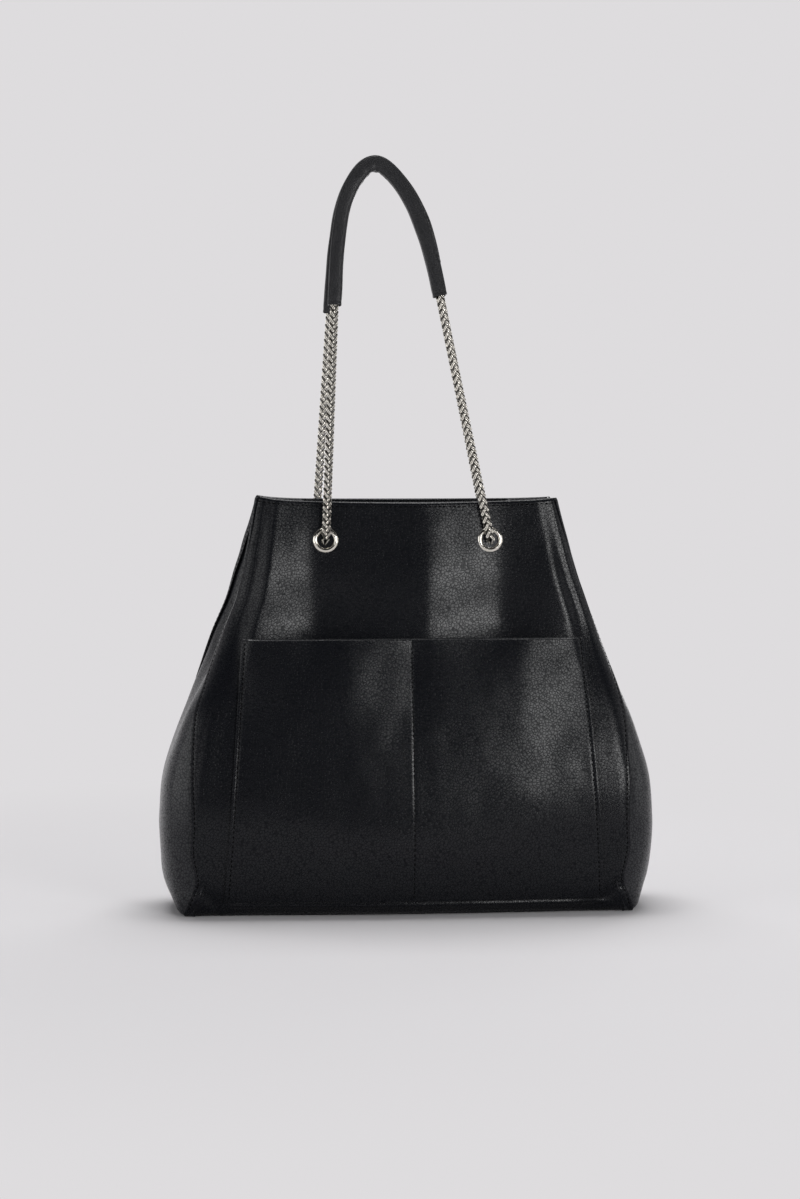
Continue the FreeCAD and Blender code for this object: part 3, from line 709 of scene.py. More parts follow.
def leather_gusset(hand):
    def point_on(through, height, inset):
        return gusset_point(hand, hand * through, height, inset)

    return leather_wall(HAND_NAMES[hand] + "_leather_gusset", point_on, GUSSET_COLUMNS, CUT_EDGE)


def leather_base():
    half_width = BASE_HALF_WIDTH - 0.5 * BASE_ROUND
    half_depth = BASE_HALF_DEPTH - 0.5 * BASE_ROUND
    columns = spaced(-half_width, half_width, 0.008, 0.004, (-half_width, half_width), 0.05)
    rows = spaced(-1.0, 1.0, 0.14, 0.07, (-1.0, 1.0), 0.5)[::-1]

    def place(x, row):
        y = row * (half_depth + BODY[0.0].crown * (1.0 - (x / BASE_HALF_WIDTH) ** 2) ** 2)
        dent = BASE_DENT * noise.noise(Vector((x * 14.0, y * 14.0, 3.0)))
        rise = BASE_LIFT + BASE_LIFT * ease(1.0 - abs(x) / half_width) + abs(dent)
        reach = 1.0 + BASE_CORNER_REACH * ease(abs(row) / 0.7)
        return Vector((x * reach, y, rise))

    piece = skin("leather_base", columns, rows, place)
    thicken(piece, LEATHER, CUT_EDGE)
    return piece


def inner_wall(name, point_at, columns, rows, inset, thickness, turn, slot_half=0.0):
    """A facing or lining wall, seen from the inside of the bag, with a slot if the zip is in it"""
    def in_slot(spot):
        return abs(spot.x) < slot_half and abs(spot.z - ZIP_HEIGHT) < ZIP_SLOT_HALF

    piece = skin(name, columns, rows, lambda column, row: point_at(turn * column, row, inset))
    if slot_half:
        choose_faces(piece, in_slot)
        bpy.ops.mesh.delete(type="FACE")
        mode("OBJECT")
    solidify(piece, thickness)
    smooth(piece)
    return piece


# Pocket

def pocket_half(height):
    share = (height - POCKET_BOTTOM) / (POCKET_TOP - POCKET_BOTTOM)
    return POCKET_HALF_BOTTOM + (POCKET_HALF_TOP - POCKET_HALF_BOTTOM) * share


def bay_swell(hand, bay):
    """How far a pocket bay's slack fills out, from 0 at the bay's left side to 1 at its right one"""
    full, left_run, left_bend, right_run, right_bend = POCKET_SWELLS[hand]
    return full * slope_over(bay / left_run, left_bend) * slope_over((1.0 - bay) / right_run, right_bend)


def pocket_point(share, height):
    """Point of the pocket's outside, from -1 at its left edge to 1 at its right one"""
    half = pocket_half(height)
    x = POCKET_CENTRE + half * share
    level = (height - POCKET_BOTTOM) / (POCKET_TOP - POCKET_BOTTOM)
    slack = POCKET_SLACK * ease(level) ** POCKET_SLACK_POWER
    if x < POCKET_SEAM:
        swell = bay_swell(LEFT, (x - POCKET_CENTRE + half) / (half + POCKET_SEAM - POCKET_CENTRE))
    else:
        swell = bay_swell(RIGHT, (x - POCKET_SEAM) / (half + POCKET_CENTRE - POCKET_SEAM))
    edge = half * (1.0 - abs(share))
    base = POCKET_SEAT + POCKET_LEATHER + POCKET_PLY
    flare = ease((height - POCKET_TOP + POCKET_FLARE) / POCKET_FLARE_RUN)
    lift = base + (POCKET_HEM_LIFT - base) * flare + slack * swell
    lift -= groove(edge, POCKET_STITCH_EDGE) + groove(abs(x - POCKET_SEAM), 0.0)
    lift += POCKET_DENT * noise.noise(Vector((x * 30.0, 5.0, height * 22.0))) * ease(edge / 0.03)
    return Vector((x, -face_depth(FRONT, x, height) - lift, height))


def hem_profile():
    """The pocket's pressed hem from its front over its top: steps back and up"""
    profile = []
    back = rise = 0.0
    for step in range(HEM_STEPS + 1):
        profile.append((back, rise))
        angle = math.pi * (step + 0.5) / HEM_STEPS
        run = POCKET_ROLL * math.pi / HEM_STEPS
        if step == HEM_PRESSED_STEP:
            profile.append((back + run * math.sin(angle), rise + run * math.cos(angle)))
            run += POCKET_HEM
        back += run * math.sin(angle)
        rise += run * math.cos(angle)
    return profile


def patch_pocket():
    edge = POCKET_STITCH_EDGE / POCKET_HALF_TOP
    seam = (POCKET_SEAM - POCKET_CENTRE) / POCKET_HALF_TOP
    columns = spaced(-1.0, 1.0, 0.026, 0.0035, (-1.0 + edge, seam, 1.0 - edge), 0.10)
    hem = hem_profile()
    rows = spaced(0.0, 1.0, 0.018, 0.005, (0.0, 1.0), 0.06)
    rows += [1.0 + index for index in range(1, len(hem))]
    hem_foot = POCKET_TOP - max(rise for back, rise in hem)

    def place(share, row):
        """Rows above 1 turn the top edge over towards the panel"""
        if row <= 1.0:
            return pocket_point(share, POCKET_BOTTOM + (hem_foot - POCKET_BOTTOM) * row)
        back, rise = hem[round(row) - 1]
        return pocket_point(share, hem_foot) + Vector((0.0, back, rise))

    piece = skin("leather_pocket", columns, rows, place)
    thicken(piece, POCKET_LEATHER, CUT_EDGE)
    return piece


# Stitches

def stitch_model():
    pick_none()
    bpy.ops.mesh.primitive_uv_sphere_add(segments=8, ring_count=6, radius=1.0)
    piece = added("stitch")
    bpy.ops.transform.resize(value=(STITCH_LENGTH / 2, STITCH_WIDTH / 2, STITCH_WIDTH * 0.42))
    settle()
    smooth(piece, 80.0)
    return piece


def stitch_places(surface, start, end, away=1.0):
    """Places of stitches along a line between two spots of a surface, given in its own measures"""
    steps = 600
    nudge = 0.001

    def spot(share):
        return [a + (b - a) * share for a, b in zip(start, end)]

    places = []
    gone = 0.0
    due = STITCH_PITCH / 2
    before = surface(*spot(0.0))
    for step in range(1, steps + 1):
        a, b = spot(step / steps)
        point = surface(a, b)
        along = point - before
        gone += along.length
        if gone >= due and along.length > 0.0:
            first = surface(a + nudge, b) - surface(a - nudge, b)
            second = surface(a, b + nudge) - surface(a, b - nudge)
            outward = first.cross(second)
            if outward.dot(Vector((point.x, 3.0 * point.y, 0.0))) * away < 0.0:
                outward = -outward
            places.append(frame_at(point, along, outward))
            due += STITCH_PITCH
        before = point
    return places


def pocket_stitches(model):
    half_top = pocket_half(POCKET_TOP)
    edge = 1.0 - POCKET_STITCH_EDGE / half_top
    low = POCKET_BOTTOM + POCKET_STITCH_END
    top = POCKET_TOP - POCKET_STITCH_END
    seam_low = (POCKET_SEAM - POCKET_CENTRE) / pocket_half(low)
    seam_high = (POCKET_SEAM - POCKET_CENTRE) / half_top
    places = []
    for start, end in ((-edge, -edge), (edge, edge), (seam_low, seam_high)):
        places += stitch_places(pocket_point, (start, low), (end, top))
    return copies(model, "pocket_stitching", places)


def panel_stitches(side, model):
    """Rows along the two seams, and one along the mouth"""
    def seam_surface(hand):
        def surface(from_edge, height):
            share = from_edge * (1.0 - FLAT_SHARE) / edge_arc(height)
            return panel_point(side, hand * (1.0 - share), height)

        return surface

    places = []
    low, high = SEAM_STITCH_HEIGHTS
    for hand in (LEFT, RIGHT):
        places += stitch_places(seam_surface(hand), (STITCH_EDGE, low), (STITCH_EDGE, high))
    top = BODY_HEIGHT - RIM_STITCH_DROP
    places += stitch_places(functools.partial(panel_point, side), (-RIM_STITCH_REACH, top),
                            (RIM_STITCH_REACH, top))
    return copies(model, SIDE_NAMES[side] + "_panel_stitching", places)


def facing_stitches(side, model):
    def surface(across, height):
        return panel_point(side, across, height, FACING_FACE)

    top = BODY_HEIGHT - RIM_STITCH_DROP
    places = stitch_places(surface, (-FACING_STITCH_REACH, top), (FACING_STITCH_REACH, top), -1.0)
    return copies(model, SIDE_NAMES[side] + "_facing_stitching", places)


# Eyelets

def band_place(side, x, height):
    """Place on the leaning band of a panel, with Z standing out from the leather"""
    depth = EYELET_DEPTH + (EYELET_HEIGHT - height) * math.tan(BAND_LEAN)
    outward = Vector((0.0, side * math.cos(BAND_LEAN), math.sin(BAND_LEAN)))
    return frame_at(Vector((x, side * depth, height)), Vector((1.0, 0.0, 0.0)), outward)


EYELET_RINGS = [
    (7.6, -6.0), (7.6, -2.0), (7.6, 0.6), (7.9, 1.5), (8.6, 2.1), (9.6, 2.3), (10.7, 2.1),
    (11.7, 1.5), (12.3, 0.8), (12.5, 0.2), (12.2, 0.0), (8.4, 0.0), (8.4, -6.0),
]


def eyelet_model():
    return turned("eyelet", [(radius * MM, height * MM) for radius, height in EYELET_RINGS])


# Chains

def spline_points(name, points):
    """Points along the smooth line that a route's points pull"""
    curve = bpy.data.curves.new(name, "CURVE")
    curve.dimensions = "3D"
    curve.resolution_u = 16
    spline = curve.splines.new("NURBS")
    spline.points.add(len(points) - 1)
    for knot, point in zip(spline.points, points):
        knot.co = (*point, 1.0)
    spline.order_u = 3
    spline.use_endpoint_u = True
    holder = bpy.data.objects.new(name, curve)
    bpy.context.collection.objects.link(holder)
    bpy.context.view_layer.update()
    line = bpy.data.meshes.new_from_object(holder)
    found = [vertex.co.copy() for vertex in line.vertices]
    discard(holder)
    return found


def walk(points, pitch, start=0.0):
    """Spots at an even pitch along a line, each with the line's direction there"""
    spots = []
    gone = 0.0
    due = start
    for a, b in zip(points, points[1:]):
        run = (b - a).length
        while run > 0.0 and due <= gone + run:
            spots.append((a.lerp(b, (due - gone) / run), (b - a) / run))
            due += pitch
        gone += run
    return spots


def link_model():
    """An oval link of round wire, lying along X"""
    pick_none()
    bpy.ops.mesh.primitive_torus_add(major_segments=LINK_SEGMENTS, minor_segments=6,
                                     major_radius=LINK_HALF_WIDTH, minor_radius=LINK_WIRE)
    piece = added("link")
    bpy.ops.transform.rotate(value=math.pi / LINK_SEGMENTS, orient_axis="Z",
                             center_override=(0.0, 0.0, 0.0))
    settle()
    for hand in (RIGHT, LEFT):
        choose_faces(piece, lambda spot: spot.x * hand > LINK_HALF_WIDTH * 0.2)
        bpy.ops.transform.translate(value=(hand * LINK_STRETCH, 0.0, 0.0))
    mode("OBJECT")
    # Mask for the chain's painted shade: 1 on each link's inner side, towards the chain's axis, fading to 0
    # on its outer side
    painted_shade_mask = piece.data.attributes.new("painted_shade_mask", "FLOAT", "POINT")
    for vertex, value in zip(piece.data.vertices, painted_shade_mask.data):
        value.value = ease(0.5 - vertex.co.z / LINK_WIRE)
    smooth(piece, 80.0)
    return piece


def chain(name, model, points, plane):
    """Links along a line in four columns, two facing columns at a time, slanting apart to each side"""
    places = []
    lean = Matrix.Rotation(-LINK_LEAN, 4, "Y")
    for number, (point, along) in enumerate(walk(points, LINK_PITCH / 2, LINK_PITCH / 2)):
        across = plane.cross(along).normalized()
        front = along.cross(across)
        hand = 1.0 if number % 2 else -1.0
        for facing in (1.0, -1.0):
            outward = (front * facing + across * (facing * hand)).normalized()
            aside = (across * (facing * hand) - front * facing).normalized()
            slanted = along * math.cos(LINK_SLANT) + aside * math.sin(LINK_SLANT)
            place = frame_at(point + outward * LINK_OFFSET, slanted, outward)
            places.append(place @ lean)
    return copies(model, name, places)


def strap_line(side):
    points = []
    for across, up in STRAP_ROUTES[side]:
        depth = PIVOT_DEPTH - STRAP_LEAN * up
        points.append((across, side * depth, PIVOT_HEIGHT + STRAP_RISE * up))
    return spline_points(SIDE_NAMES[side] + "_route", points)


def strap_plane(side):
    return Vector((0.0, side * STRAP_RISE, STRAP_LEAN))


def inner_line(hand):
    x, y, z = INNER_CHAIN_MIDDLE
    turn, drop = INNER_CHAIN_TURN
    points = [
        (hand * EYELETS[FRONT], -PIVOT_DEPTH, PIVOT_HEIGHT),
        (hand * EYELETS[FRONT], -turn, PIVOT_HEIGHT - drop),
        (hand * x, y, z),
        (hand * EYELETS[BACK], turn, PIVOT_HEIGHT - drop),
        (hand * EYELETS[BACK], PIVOT_DEPTH, PIVOT_HEIGHT),
    ]
    return spline_points(HAND_NAMES[hand] + "_inner_route", points)


# Padded sleeves

def crossing(a, b, height):
    """Where the line from one point to another passes a height"""
    return a.lerp(b, (height - a.z) / (b.z - a.z))


def sleeve_line(side, points):
    """The stretch of a strap's line that its sleeve covers"""
    left_end, right_end = PAD_ENDS[side]
    peak = max(range(len(points)), key=lambda index: points[index].z)
    kept = [p for i, p in enumerate(points) if p.z >= (left_end if i <= peak else right_end)]
    first = next(i for i, p in enumerate(points) if p.z >= left_end)
    last = max(i for i, p in enumerate(points) if p.z >= right_end)
    start = crossing(points[first - 1], points[first], left_end)
    end = crossing(points[last], points[last + 1], right_end)
    return [start] + kept + [end]


def sleeve(name, side, points, half, recess, wrinkled):
    """A closed outline carried along a line, left open at its two ends"""
    spots = walk(points, PAD_STEP)
    spots = spots[recess:len(spots) - recess]
    plane = strap_plane(side)
    outline = half + [(p, -q) for p, q in reversed(half[1:-1])]
    peak = max(range(len(spots)), key=lambda index: spots[index][0].z)
    last = len(spots) - 1

    def place(column, row):
        p, q = outline[column % len(outline)]
        point, along = spots[row]
        outward = plane.cross(along).normalized() * -side
        inner = ease(-p / (4 * MM))
        gap = (row - peak) * PAD_STEP
        ripple = WRINKLE_RISE * noise.noise(Vector((gap * WRINKLE_SCALE, q * 90.0, side * 3.0)))
        ripple *= inner * math.exp(-(gap / WRINKLE_REACH) ** 2)
        soft = PAD_DENT * noise.noise(point * 45.0 + Vector((0.0, q * 200.0, p * 200.0)))
        from_end = min(row, last - row) * PAD_STEP
        hem = PAD_HEM_DEPTH * math.exp(-((from_end - PAD_HEM) / PAD_HEM_WIDTH) ** 2)
        lift = (ripple + soft - hem) if wrinkled else 0.0
        spread = 1.0 + lift / PAD_HALF
        return point + outward * (p * spread - ripple * 0.6 * wrinkled) + plane * (q * spread)

    columns = list(range(len(outline) + 1))
    rows = list(range(len(spots)))
    piece = skin(name, columns, rows, place)
    weld(piece)
    return piece


# Finishes

class Shade:
    """A socket of one node tree; arithmetic on it adds Math nodes"""

    def __init__(self, tree, socket=None):
        self.tree = tree
        self.socket = socket

    def node(self, kind, settings=None, inputs=None, output=0):
        made = self.tree.nodes.new("ShaderNode" + kind)
        for name, setting in (settings or {}).items():
            setattr(made, name, setting)
        for name, value in (inputs or {}).items():
            if isinstance(value, Shade):
                self.tree.links.new(value.socket, made.inputs[name])
            else:
                made.inputs[name].default_value = value
        return Shade(self.tree, made.outputs[output])

    def math(self, operation, first, second=0.0):
        return self.node("Math", {"operation": operation}, {0: first, 1: second})

    def __add__(self, other):
        return self.math("ADD", self, other)

    def __radd__(self, other):
        return self.math("ADD", other, self)

    def __sub__(self, other):
        return self.math("SUBTRACT", self, other)

    def __rsub__(self, other):
        return self.math("SUBTRACT", other, self)

    def __mul__(self, other):
        return self.math("MULTIPLY", self, other)


def mix(mask, low, high):
    """Colour between two colours"""
    return mask.node("Mix", {"data_type": "RGBA"}, {0: mask, 6: low, 7: high}, 2)


def cloud(place, scale, detail, **more):
    """Noise from 0 to 1"""
    return place.node("TexNoise", {}, {"Vector": place, "Scale": scale, "Detail": detail, **more})


def bump(height, strength, distance):
    return height.node("Bump", {}, {"Strength": strength, "Distance": distance, "Height": height})


def new_finish(name):
    """A material, and the piece's own places in its node tree"""
    finish = bpy.data.materials.new(name)
    finish.use_nodes = True
    return finish, Shade(finish.node_tree).node("TexCoord", output="Object")


def feed(finish, **values):
    """Sets or links inputs of a material's Principled shader"""
    shader = finish.node_tree.nodes["Principled BSDF"]
    for name, value in values.items():
        socket = shader.inputs[name.replace("_", " ")]
        if isinstance(value, Shade):
            finish.node_tree.links.new(value.socket, socket)
        else:
            socket.default_value = value
    return Shade(finish.node_tree, shader.outputs[0])


def pebbled_leather(name, dark, light, roughness, pebble, gloss):
    """Black grained leather: rounded pebbles with creases between them"""
    finish, place = new_finish(name)
    warp = place.node("TexNoise", {}, {"Vector": place, "Scale": 160.0, "Detail": 2.0}, "Color")
    bent = place.node("VectorMath", {"operation": "MULTIPLY_ADD"}, {0: warp, 1: (0.0012,) * 3, 2: place})
    grain = {"Vector": bent, "Scale": 1.0 / pebble, "Randomness": 0.95}
    cells = place.node("TexVoronoi", {"feature": "SMOOTH_F1"}, {**grain, "Smoothness": 0.35})
    creases = place.node("TexVoronoi", {"feature": "DISTANCE_TO_EDGE"}, grain)
    fine = cloud(place, 2600.0, 3.0, Roughness=0.6)
    broad = cloud(place, 22.0, 2.0)
    valley = place.node("MapRange", {}, {"Value": creases, "From Min": 0.0, "From Max": 0.15})
    height = valley * 0.22 - cells * cells + fine * 0.03
    feed(finish, Base_Color=mix(valley * 0.7 + broad * 0.3, dark, light), Normal=bump(height, 1.0, 0.00024),
         Roughness=roughness + (broad - 0.5) * 0.04 + (1.0 - valley) * 0.10, Specular_IOR_Level=0.06,
         Coat_Weight=(valley * 0.86 + 0.14) * gloss, Coat_Roughness=roughness, Coat_IOR=1.5)
    return finish


def nickel(name, with_painted_shade):
    """Bright plated metal with faint handling marks; on a chain, painted shade darkens the links where they
    face each other, and they turn rougher there
    """
    finish, place = new_finish(name)
    marks = cloud(place, 700.0, 3.0)
    colour = mix(cloud(place, 60.0, 2.0), (0.60, 0.57, 0.51, 1.0), (0.76, 0.73, 0.67, 1.0))
    roughness = 0.12 + marks * 0.10
    if with_painted_shade:
        # Painted shade: the mask darkens the colour where links face each other; it also makes them rougher
        # there
        painted_shade_mask = place.node("Attribute", {"attribute_name": "painted_shade_mask"}, {}, "Fac")
        colour = mix(painted_shade_mask, colour, (0.030, 0.027, 0.022, 1.0))
        roughness = roughness + painted_shade_mask * 0.30
    feed(finish, Base_Color=colour, Metallic=1.0, Roughness=roughness, Normal=bump(marks, 0.25, 0.00004))
    return finish


def woven(name, dark, light, thread, twist, roughness, gloss=0.4):
    """Cloth with crossing threads, on the piece's own places"""
    finish, place = new_finish(name)
    twisted = place.node("Mapping", {}, {"Vector": place, "Rotation": (0.0, twist, 0.0)})
    threads = {"Vector": twisted, "Scale": 0.314 / thread, "Distortion": 0.6, "Detail": 1.0}
    warp = place.node("TexWave", {"bands_direction": "X"}, threads)
    weft = place.node("TexWave", {"bands_direction": "Z"}, threads)
    broad = cloud(place, 30.0, 3.0)
    weave = warp * 0.5 + weft * 0.5
    feed(finish, Base_Color=mix(weave * 0.7 + broad * 0.3, dark, light), Normal=bump(weave, 0.5, 0.00012),
         Roughness=roughness + (broad - 0.5) * 0.12, Specular_IOR_Level=gloss)
    return finish


def speckled(name, dark, light, grain, roughness):
    """Board or foam: fine uneven specks"""
    finish, place = new_finish(name)
    specks = cloud(place, 1.0 / grain, 4.0)
    feed(finish, Base_Color=mix(specks, dark, light), Normal=bump(specks, 0.4, 0.0002),
         Roughness=roughness + (specks - 0.5) * 0.1)
    return finish


# Stage, light and camera

def stage_floor():
    pick_none()
    bpy.ops.mesh.primitive_circle_add(vertices=96, radius=14.0, fill_type="NGON")
    floor = added("floor")
    finish, place = new_finish("pale_floor")
    away = place.node("VectorMath", {"operation": "LENGTH"}, {0: place}, "Value")
    far = place.node("MapRange", {"interpolation_type": "SMOOTHSTEP"},
                     {"Value": away, "From Min": 0.35, "From Max": 1.1})
    near = feed(finish, Base_Color=BACKDROP, Roughness=0.9, Specular_IOR_Level=0.1)
    glow = place.node("Emission", {}, {"Color": BACKDROP})
    both = place.node("MixShader", {}, {0: far, 1: near, 2: glow})
    output = finish.node_tree.nodes["Material Output"]
    finish.node_tree.links.new(both.socket, output.inputs["Surface"])
    floor.data.materials.append(finish)


def studio_world():
    """Pale all round to the eye; gloss sees it pale behind the bag and dim towards the front"""
    world = bpy.data.worlds.new("studio")
    bpy.context.scene.world = world
    world.use_nodes = True
    tree = world.node_tree
    place = Shade(tree).node("TexCoord", output="Generated")
    forward = place.node("SeparateXYZ", {}, {0: place}, "Y")
    behind = place.node("MapRange", {"interpolation_type": "SMOOTHSTEP"},
                        {"Value": forward, "From Min": -0.35, "From Max": 0.45})
    gloss = place.node("LightPath", output="Is Glossy Ray")
    camera = place.node("LightPath", output="Is Camera Ray")
    seen = mix(gloss, ROOM_FILL, mix(behind, ROOM_FRONT, BACKDROP))
    seen = mix(camera, seen, BACKDROP)
    tree.links.new(seen.socket, tree.nodes["Background"].inputs["Color"])


def softbox(name, azimuth, distance, height, width, tall, power, aim):
    angle = math.radians(azimuth)
    place = Vector((math.sin(angle) * distance, -math.cos(angle) * distance, height))
    turn = (Vector((0.0, 0.0, aim)) - place).to_track_quat("-Z", "Y").to_euler()
    pick_none()
    bpy.ops.object.light_add(type="AREA", location=place, rotation=turn)
    lamp = bpy.context.object
    lamp.name = name
    lamp.data.shape = "RECTANGLE"
    lamp.data.size = width
    lamp.data.size_y = tall
    lamp.data.energy = power
    lamp.visible_camera = False


def photo_camera():
    pick_none()
    bpy.ops.object.camera_add(location=CAMERA_PLACE, rotation=CAMERA_TURN)
    camera = bpy.context.object
    camera.name = "photo_camera"
    camera.data.lens = CAMERA_LENS
    camera.data.sensor_width = CAMERA_SENSOR
    camera.data.dof.use_dof = False
    bpy.context.scene.camera = camera


# The whole bag

leather = pebbled_leather("black_pebbled_leather", (0.0032, 0.0037, 0.0052, 1.0),
                          (0.0050, 0.0056, 0.0076, 1.0), 0.26, 0.0028, 0.42)
# Gusset leather: the same black leather, with its colour made lighter as painted sheen on the gussets; it
# is also rougher and more coated
side_leather_painted_sheen = pebbled_leather("black_side_leather_painted_sheen", (0.0060, 0.0066, 0.0084, 1.0),
                               (0.0110, 0.0118, 0.0146, 1.0), 0.30, 0.0028, 0.75)
# Sleeve leather: the same black leather, with its colour made lighter as painted sheen on the padded
# sleeves; it is also rougher, with a finer grain and less coat
sleeve_leather_painted_sheen = pebbled_leather("black_sleeve_leather_painted_sheen", (0.0160, 0.0162, 0.0176, 1.0),
                               (0.0280, 0.0283, 0.0304, 1.0), 0.36, 0.0015, 0.36)
metal = nickel("bright_nickel", False)
# Chain nickel with painted shade on the inner sides of its links
chain_metal = nickel("chain_nickel_painted_shade", True)
thread = woven("black_thread", (0.0008, 0.0008, 0.0009, 1.0), (0.0025, 0.0025, 0.0028, 1.0),
               0.0003, 0.6, 0.8, 0.06)
lining_cloth = woven("black_lining", (0.010, 0.010, 0.012, 1.0), (0.026, 0.026, 0.030, 1.0),
                     0.0006, 0.78, 0.75)
tape_cloth = woven("black_zip_tape", (0.007, 0.007, 0.008, 1.0), (0.020, 0.020, 0.022, 1.0),
                   0.0005, 0.0, 0.7)
board = speckled("grey_board", (0.10, 0.09, 0.08, 1.0), (0.22, 0.20, 0.18, 1.0), 0.0012, 0.8)
foam = speckled("grey_foam", (0.05, 0.05, 0.055, 1.0), (0.12, 0.12, 0.13, 1.0), 0.0009, 0.9)


def dress_cad_nodes():
    """Finishes for the CAD pieces, since some of the metal fittings stay in sight"""
    metal_words = ("eyelet", "washer", "snap", "slider", "pull", "teeth")
    for name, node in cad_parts.items():
        finish = leather
        if any(word in name for word in metal_words):
            finish = metal
        elif "board" in name or "stiffener" in name:
            finish = board
        elif "zip" in name:
            finish = tape_cloth
        node.data.materials.clear()
        node.data.materials.append(finish)


def build_body():
    stitch = stitch_model()
    for side in (FRONT, BACK):
        dress(leather_panel(side), leather, "black_leather", "bag", SIDE_NAMES[side] + "_panel")
        dress(panel_stitches(side, stitch), thread, "black_leather", "bag")
        dress(facing_stitches(side, stitch), thread, "black_leather", "bag")
    for hand in (LEFT, RIGHT):
        dress(leather_gusset(hand), side_leather_painted_sheen, "black_leather", "bag", HAND_NAMES[hand] + "_gusset")
    dress(leather_base(), leather, "black_leather", "bag", "base_panel")
    dress(patch_pocket(), leather, "black_leather", "bag", "front_pocket")
    dress(pocket_stitches(stitch), thread, "black_leather", "bag")
    discard(stitch)


def build_inside():
    top = BODY_HEIGHT - RIM_ROUND
    columns = spaced(-1.0, 1.0, 0.03, 0.012, (-1.0, -FLAT_SHARE, FLAT_SHARE, 1.0), 0.10)
    gusset_columns = spaced(-1.0, 1.0, 0.05, 0.02, (-1.0, 0.0, 1.0), 0.30)
    facing_rows = spaced(FACING_BOTTOM, top, 0.006, 0.004, (FACING_BOTTOM, top), 0.02)
    stiffener_columns = spaced(-STIFFENER_REACH, STIFFENER_REACH, 0.03, 0.02, (0.0,), 0.5)
    stiffener_rows = spaced(*STIFFENER_HEIGHTS, 0.006, 0.004, STIFFENER_HEIGHTS[:1], 0.02)
    lining_rows = spaced(LINING_BOTTOM, FACING_BOTTOM, 0.008, 0.004, (LINING_BOTTOM, FACING_BOTTOM), 0.03)
    for side in (FRONT, BACK):
        point_at = functools.partial(panel_point, side)
        name = SIDE_NAMES[side]
        piece = inner_wall(name + "_leather_facing", point_at, columns, facing_rows, FACING_FACE,
                           FACING, side)
        dress(piece, leather, "black_leather", "bag", name + "_facing")
        piece = inner_wall(name + "_board_stiffener", point_at, stiffener_columns, stiffener_rows,
                           STIFFENER_FACE, STIFFENER, side)
        dress(piece, board, "board", "bag", name + "_stiffener")
        if side == FRONT:
            piece = inner_wall(name + "_lining", point_at, columns, lining_rows, LINING_FACE, LINING, side)
        else:
            slot_columns, slot_rows = slot_edges(columns, lining_rows)
            piece = inner_wall(name + "_lining", point_at, slot_columns, slot_rows, LINING_FACE, LINING,
                               side, ZIP_HALF_LENGTH)
        dress(piece, lining_cloth, "lining_fabric", "bag", "lining_" + name)
    for hand in (LEFT, RIGHT):
        name = HAND_NAMES[hand]
        point_at = functools.partial(gusset_facing_point, hand)
        piece = inner_wall(name + "_leather_facing", point_at, gusset_columns, facing_rows,
                           GUSSET_FACING_FACE, FACING, -hand)
        dress(piece, leather, "black_leather", "bag", name + "_facing")
        point_at = functools.partial(gusset_point, hand)
        piece = inner_wall(name + "_lining", point_at, gusset_columns, lining_rows,
                           LINING_FACE - LAP, LINING, -hand)
        dress(piece, lining_cloth, "lining_fabric", "bag", "lining_" + name)
    dress(stiff_board(), board, "board", "bag", "base_board")
    piece = dress(lining_floor(), lining_cloth, "lining_fabric", "bag", "lining_base")
    build_zip()


def slot_edges(columns, rows):
    """Columns and rows of the back lining, with two of each that edge its zip slot"""
    end = FLAT_SHARE * ZIP_HALF_LENGTH / flat_half(BACK, RIGHT, ZIP_HEIGHT)
    columns = [column for column in columns if abs(abs(column) - end) > 0.008]
    rows = [row for row in rows if abs(row - ZIP_HEIGHT) > ZIP_SLOT_HALF + 0.002]
    edges = [ZIP_HEIGHT - ZIP_SLOT_HALF, ZIP_HEIGHT + ZIP_SLOT_HALF]
    return sorted(columns + [-end, end]), sorted(rows + edges)


def stiff_board():
    """The board that keeps the base flat, with rounded corners"""
    pick_none()
    middle = (BOARD_LOW + BOARD_HIGH) / 2
    bpy.ops.mesh.primitive_cube_add(size=1.0, location=(0.0, 0.0, middle))
    piece = added("stiff_base_board")
    side_gap, front_gap = BOARD_GAPS
    size = (2 * BASE_HALF_WIDTH - side_gap, 2 * BASE_HALF_DEPTH - front_gap, BOARD_HIGH - BOARD_LOW)
    bpy.ops.transform.resize(value=size)
    settle()
    mode("EDIT")
    bpy.ops.mesh.select_mode(type="EDGE")
    bpy.ops.mesh.select_all(action="DESELECT")
    mode("OBJECT")
    corners = piece.data.vertices
    for edge in piece.data.edges:
        first, second = (corners[index].co for index in edge.vertices)
        edge.select = abs(first.z - second.z) > 0.001
    mode("EDIT")
    bpy.ops.mesh.bevel(offset=BOARD_CORNER, segments=5)
    mode("OBJECT")
    smooth(piece)
    return piece


def lining_floor():
    half_width = BASE_HALF_WIDTH - FLOOR_GAP
    half_depth = BASE_HALF_DEPTH - FLOOR_GAP
    columns = spaced(-half_width, half_width, 0.012, 0.008, (-half_width, half_width), 0.03)
    rows = spaced(-half_depth, half_depth, 0.012, 0.008, (-half_depth, half_depth), 0.03)

    def place(x, y):
        dent = FLOOR_DENT * abs(noise.noise(Vector((x * 20.0, y * 20.0, 8.0))))
        return Vector((x, y, FLOOR_HEIGHT + dent))

    piece = skin("base_lining", columns, rows, place)
    solidify(piece, LINING)
    smooth(piece)
    return piece


def tooth_model():
    pick_none()
    bpy.ops.mesh.primitive_cube_add(size=1.0)
    piece = added("zip_tooth")
    bpy.ops.transform.resize(value=TOOTH_SIZE)
    settle()
    mode("EDIT")
    bpy.ops.mesh.select_all(action="SELECT")
    bpy.ops.mesh.bevel(offset=TOOTH_EDGE, segments=1)
    mode("OBJECT")
    return piece


